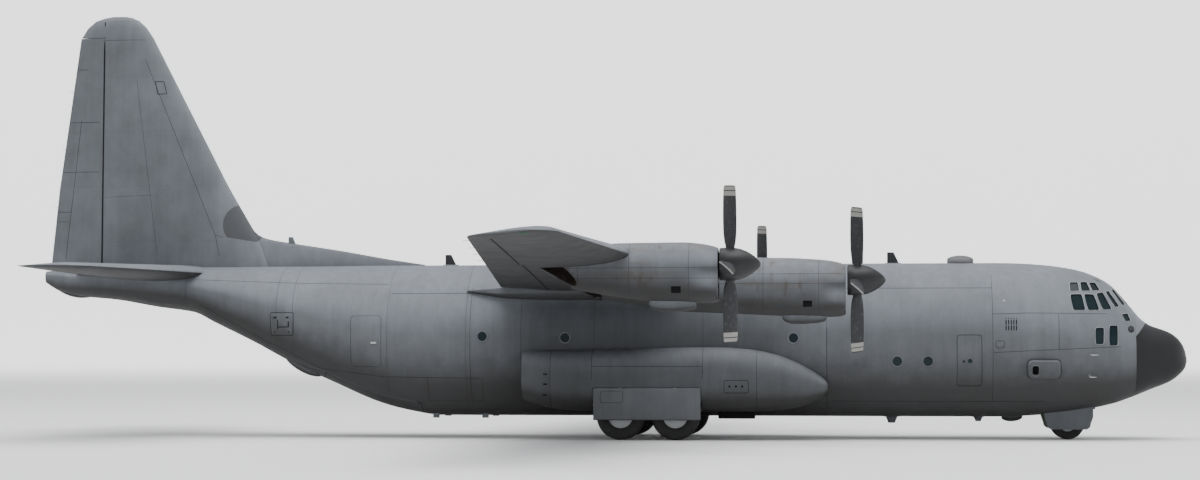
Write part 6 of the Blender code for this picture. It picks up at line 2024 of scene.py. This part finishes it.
def cockpit():
    """Deck, seats, panel and pedestal behind the cockpit's glass."""
    rings = []
    for x in (12.32, 13.0, 13.8, 14.4, 14.95):
        half = hull_y(x, 2.95, 0.10)
        rings.append([(x, -half, 2.85), (x, half, 2.85), (x, half, 2.95), (x, -half, 2.95)])
    deck = loft("flight_deck", rings, INSIDE)
    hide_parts("flight_deck")
    for side, sign in SIDES:
        y = sign * 0.75
        seat = box(f"{side}_pilot_seat", (13.55, y - 0.25, 2.95), (14.05, y + 0.25, 3.40), [SEAT_CLOTH],
                   bevel=0.06)
        back = box(f"{side}_pilot_seat_back", (13.40, y - 0.24, 3.35), (13.60, y + 0.24, 4.05), [SEAT_CLOTH],
                   bevel=0.06)
    panel = box("instrument_panel", (14.62, -1.0, 2.95), (14.82, 1.0, 3.64), [DARK], bevel=0.04)
    pedestal = box("pedestal", (13.9, -0.22, 2.95), (14.64, 0.22, 3.45), [DARK], bevel=0.04)


portholes()
top_and_belly()
side_details()
sponson_details()
tail_details()
tip_lamps()
cockpit()


def area_light(name, place, target, size, power):
    light = bpy.data.lights.new(name, "AREA")
    light.shape = "RECTANGLE"
    light.size, light.size_y = [SCALE * value for value in size]
    light.energy = power
    item = bpy.data.objects.new(name, light)
    item.location = [SCALE * value for value in place]
    aim = Vector(target) - Vector(place)
    item.rotation_euler = aim.to_track_quat("-Z", "Y").to_euler()
    bpy.context.scene.collection.objects.link(item)


def stage_material():
    nodes = Nodes("pale_studio")
    x, y, _ = nodes.axes()
    cloud = nodes.noise((1, 1, 1), 0.05, detail=3.0)
    base = nodes.mix(nodes.ranged(cloud, 0.0, 1.0), (0.84, 0.84, 0.84), (0.86, 0.86, 0.86))
    far = nodes.math("SQRT", nodes.math("ADD", nodes.times(x, x), nodes.times(y, y)))
    behind = nodes.remap(y, -450.0, 150.0, 0.16, 1.15)
    glow = nodes.times(nodes.remap(far, 45.0, 300.0, 0.0, 1.0, True), behind)
    nodes.shader.inputs["Emission Color"].default_value = (1.0, 1.0, 1.0, 1.0)
    nodes.link(glow, nodes.shader.inputs["Emission Strength"])
    return nodes.finish(base, 0.85)


def build_stage():
    """A pale floor that curves up into a pale wall all round the plane, and soft lights."""
    flat, bend, high, steps = 420.0, 110.0, 150.0, 96
    profile = [(0.5, 0.0), (60.0, 0.0), (200.0, 0.0), (flat, 0.0)]
    for k in range(1, 17):
        angle = pi / 2 * k / 16
        profile.append((flat + bend * sin(angle), bend - bend * cos(angle)))
    profile.append((flat + bend, high))
    rings = []
    for radius, z in profile:
        rings.append([(radius * c, radius * s, z) for c, s in circle(steps)])
    points, faces = loft_faces(rings, capped=False)
    faces.append(tuple(range(steps)))
    floor = mesh_object("studio_floor", points, faces, stage_material(), body=None)
    area_light("key_light", (15, -45, 85), (0, 0, 4), (60, 40), 8500)
    area_light("top_light", (0, 0, 90), (0, 0, 0), (110, 70), 19000)
    world = bpy.data.worlds.new("studio")
    bpy.context.scene.world = world
    world.use_nodes = True
    tree = world.node_tree
    back_light = tree.nodes["Background"]
    place = tree.nodes.new("ShaderNodeTexCoord")
    split = tree.nodes.new("ShaderNodeSeparateXYZ")
    tree.links.new(place.outputs["Generated"], split.inputs[0])
    height = tree.nodes.new("ShaderNodeMapRange")
    for key, number in (("From Min", -0.3), ("From Max", 1.0), ("To Min", 0.28), ("To Max", 1.00)):
        height.inputs[key].default_value = number
    tree.links.new(split.outputs[2], height.inputs["Value"])
    tree.links.new(height.outputs["Result"], back_light.inputs["Strength"])
    back_light.inputs["Color"].default_value = (0.95, 0.97, 1.0, 1.0)


def build_camera():
    lens = bpy.data.cameras.new("photo_camera")
    lens.lens = CAMERA_LENS
    lens.sensor_width = 36.0
    lens.clip_end = 800.0
    camera = bpy.data.objects.new("photo_camera", lens)
    bpy.context.scene.collection.objects.link(camera)
    camera.location = [SCALE * value for value in CAMERA_AT]
    camera.rotation_euler = (pi / 2 + CAMERA_PITCH, 0, CAMERA_YAW)
    bpy.context.scene.camera = camera


build_stage()
build_camera()
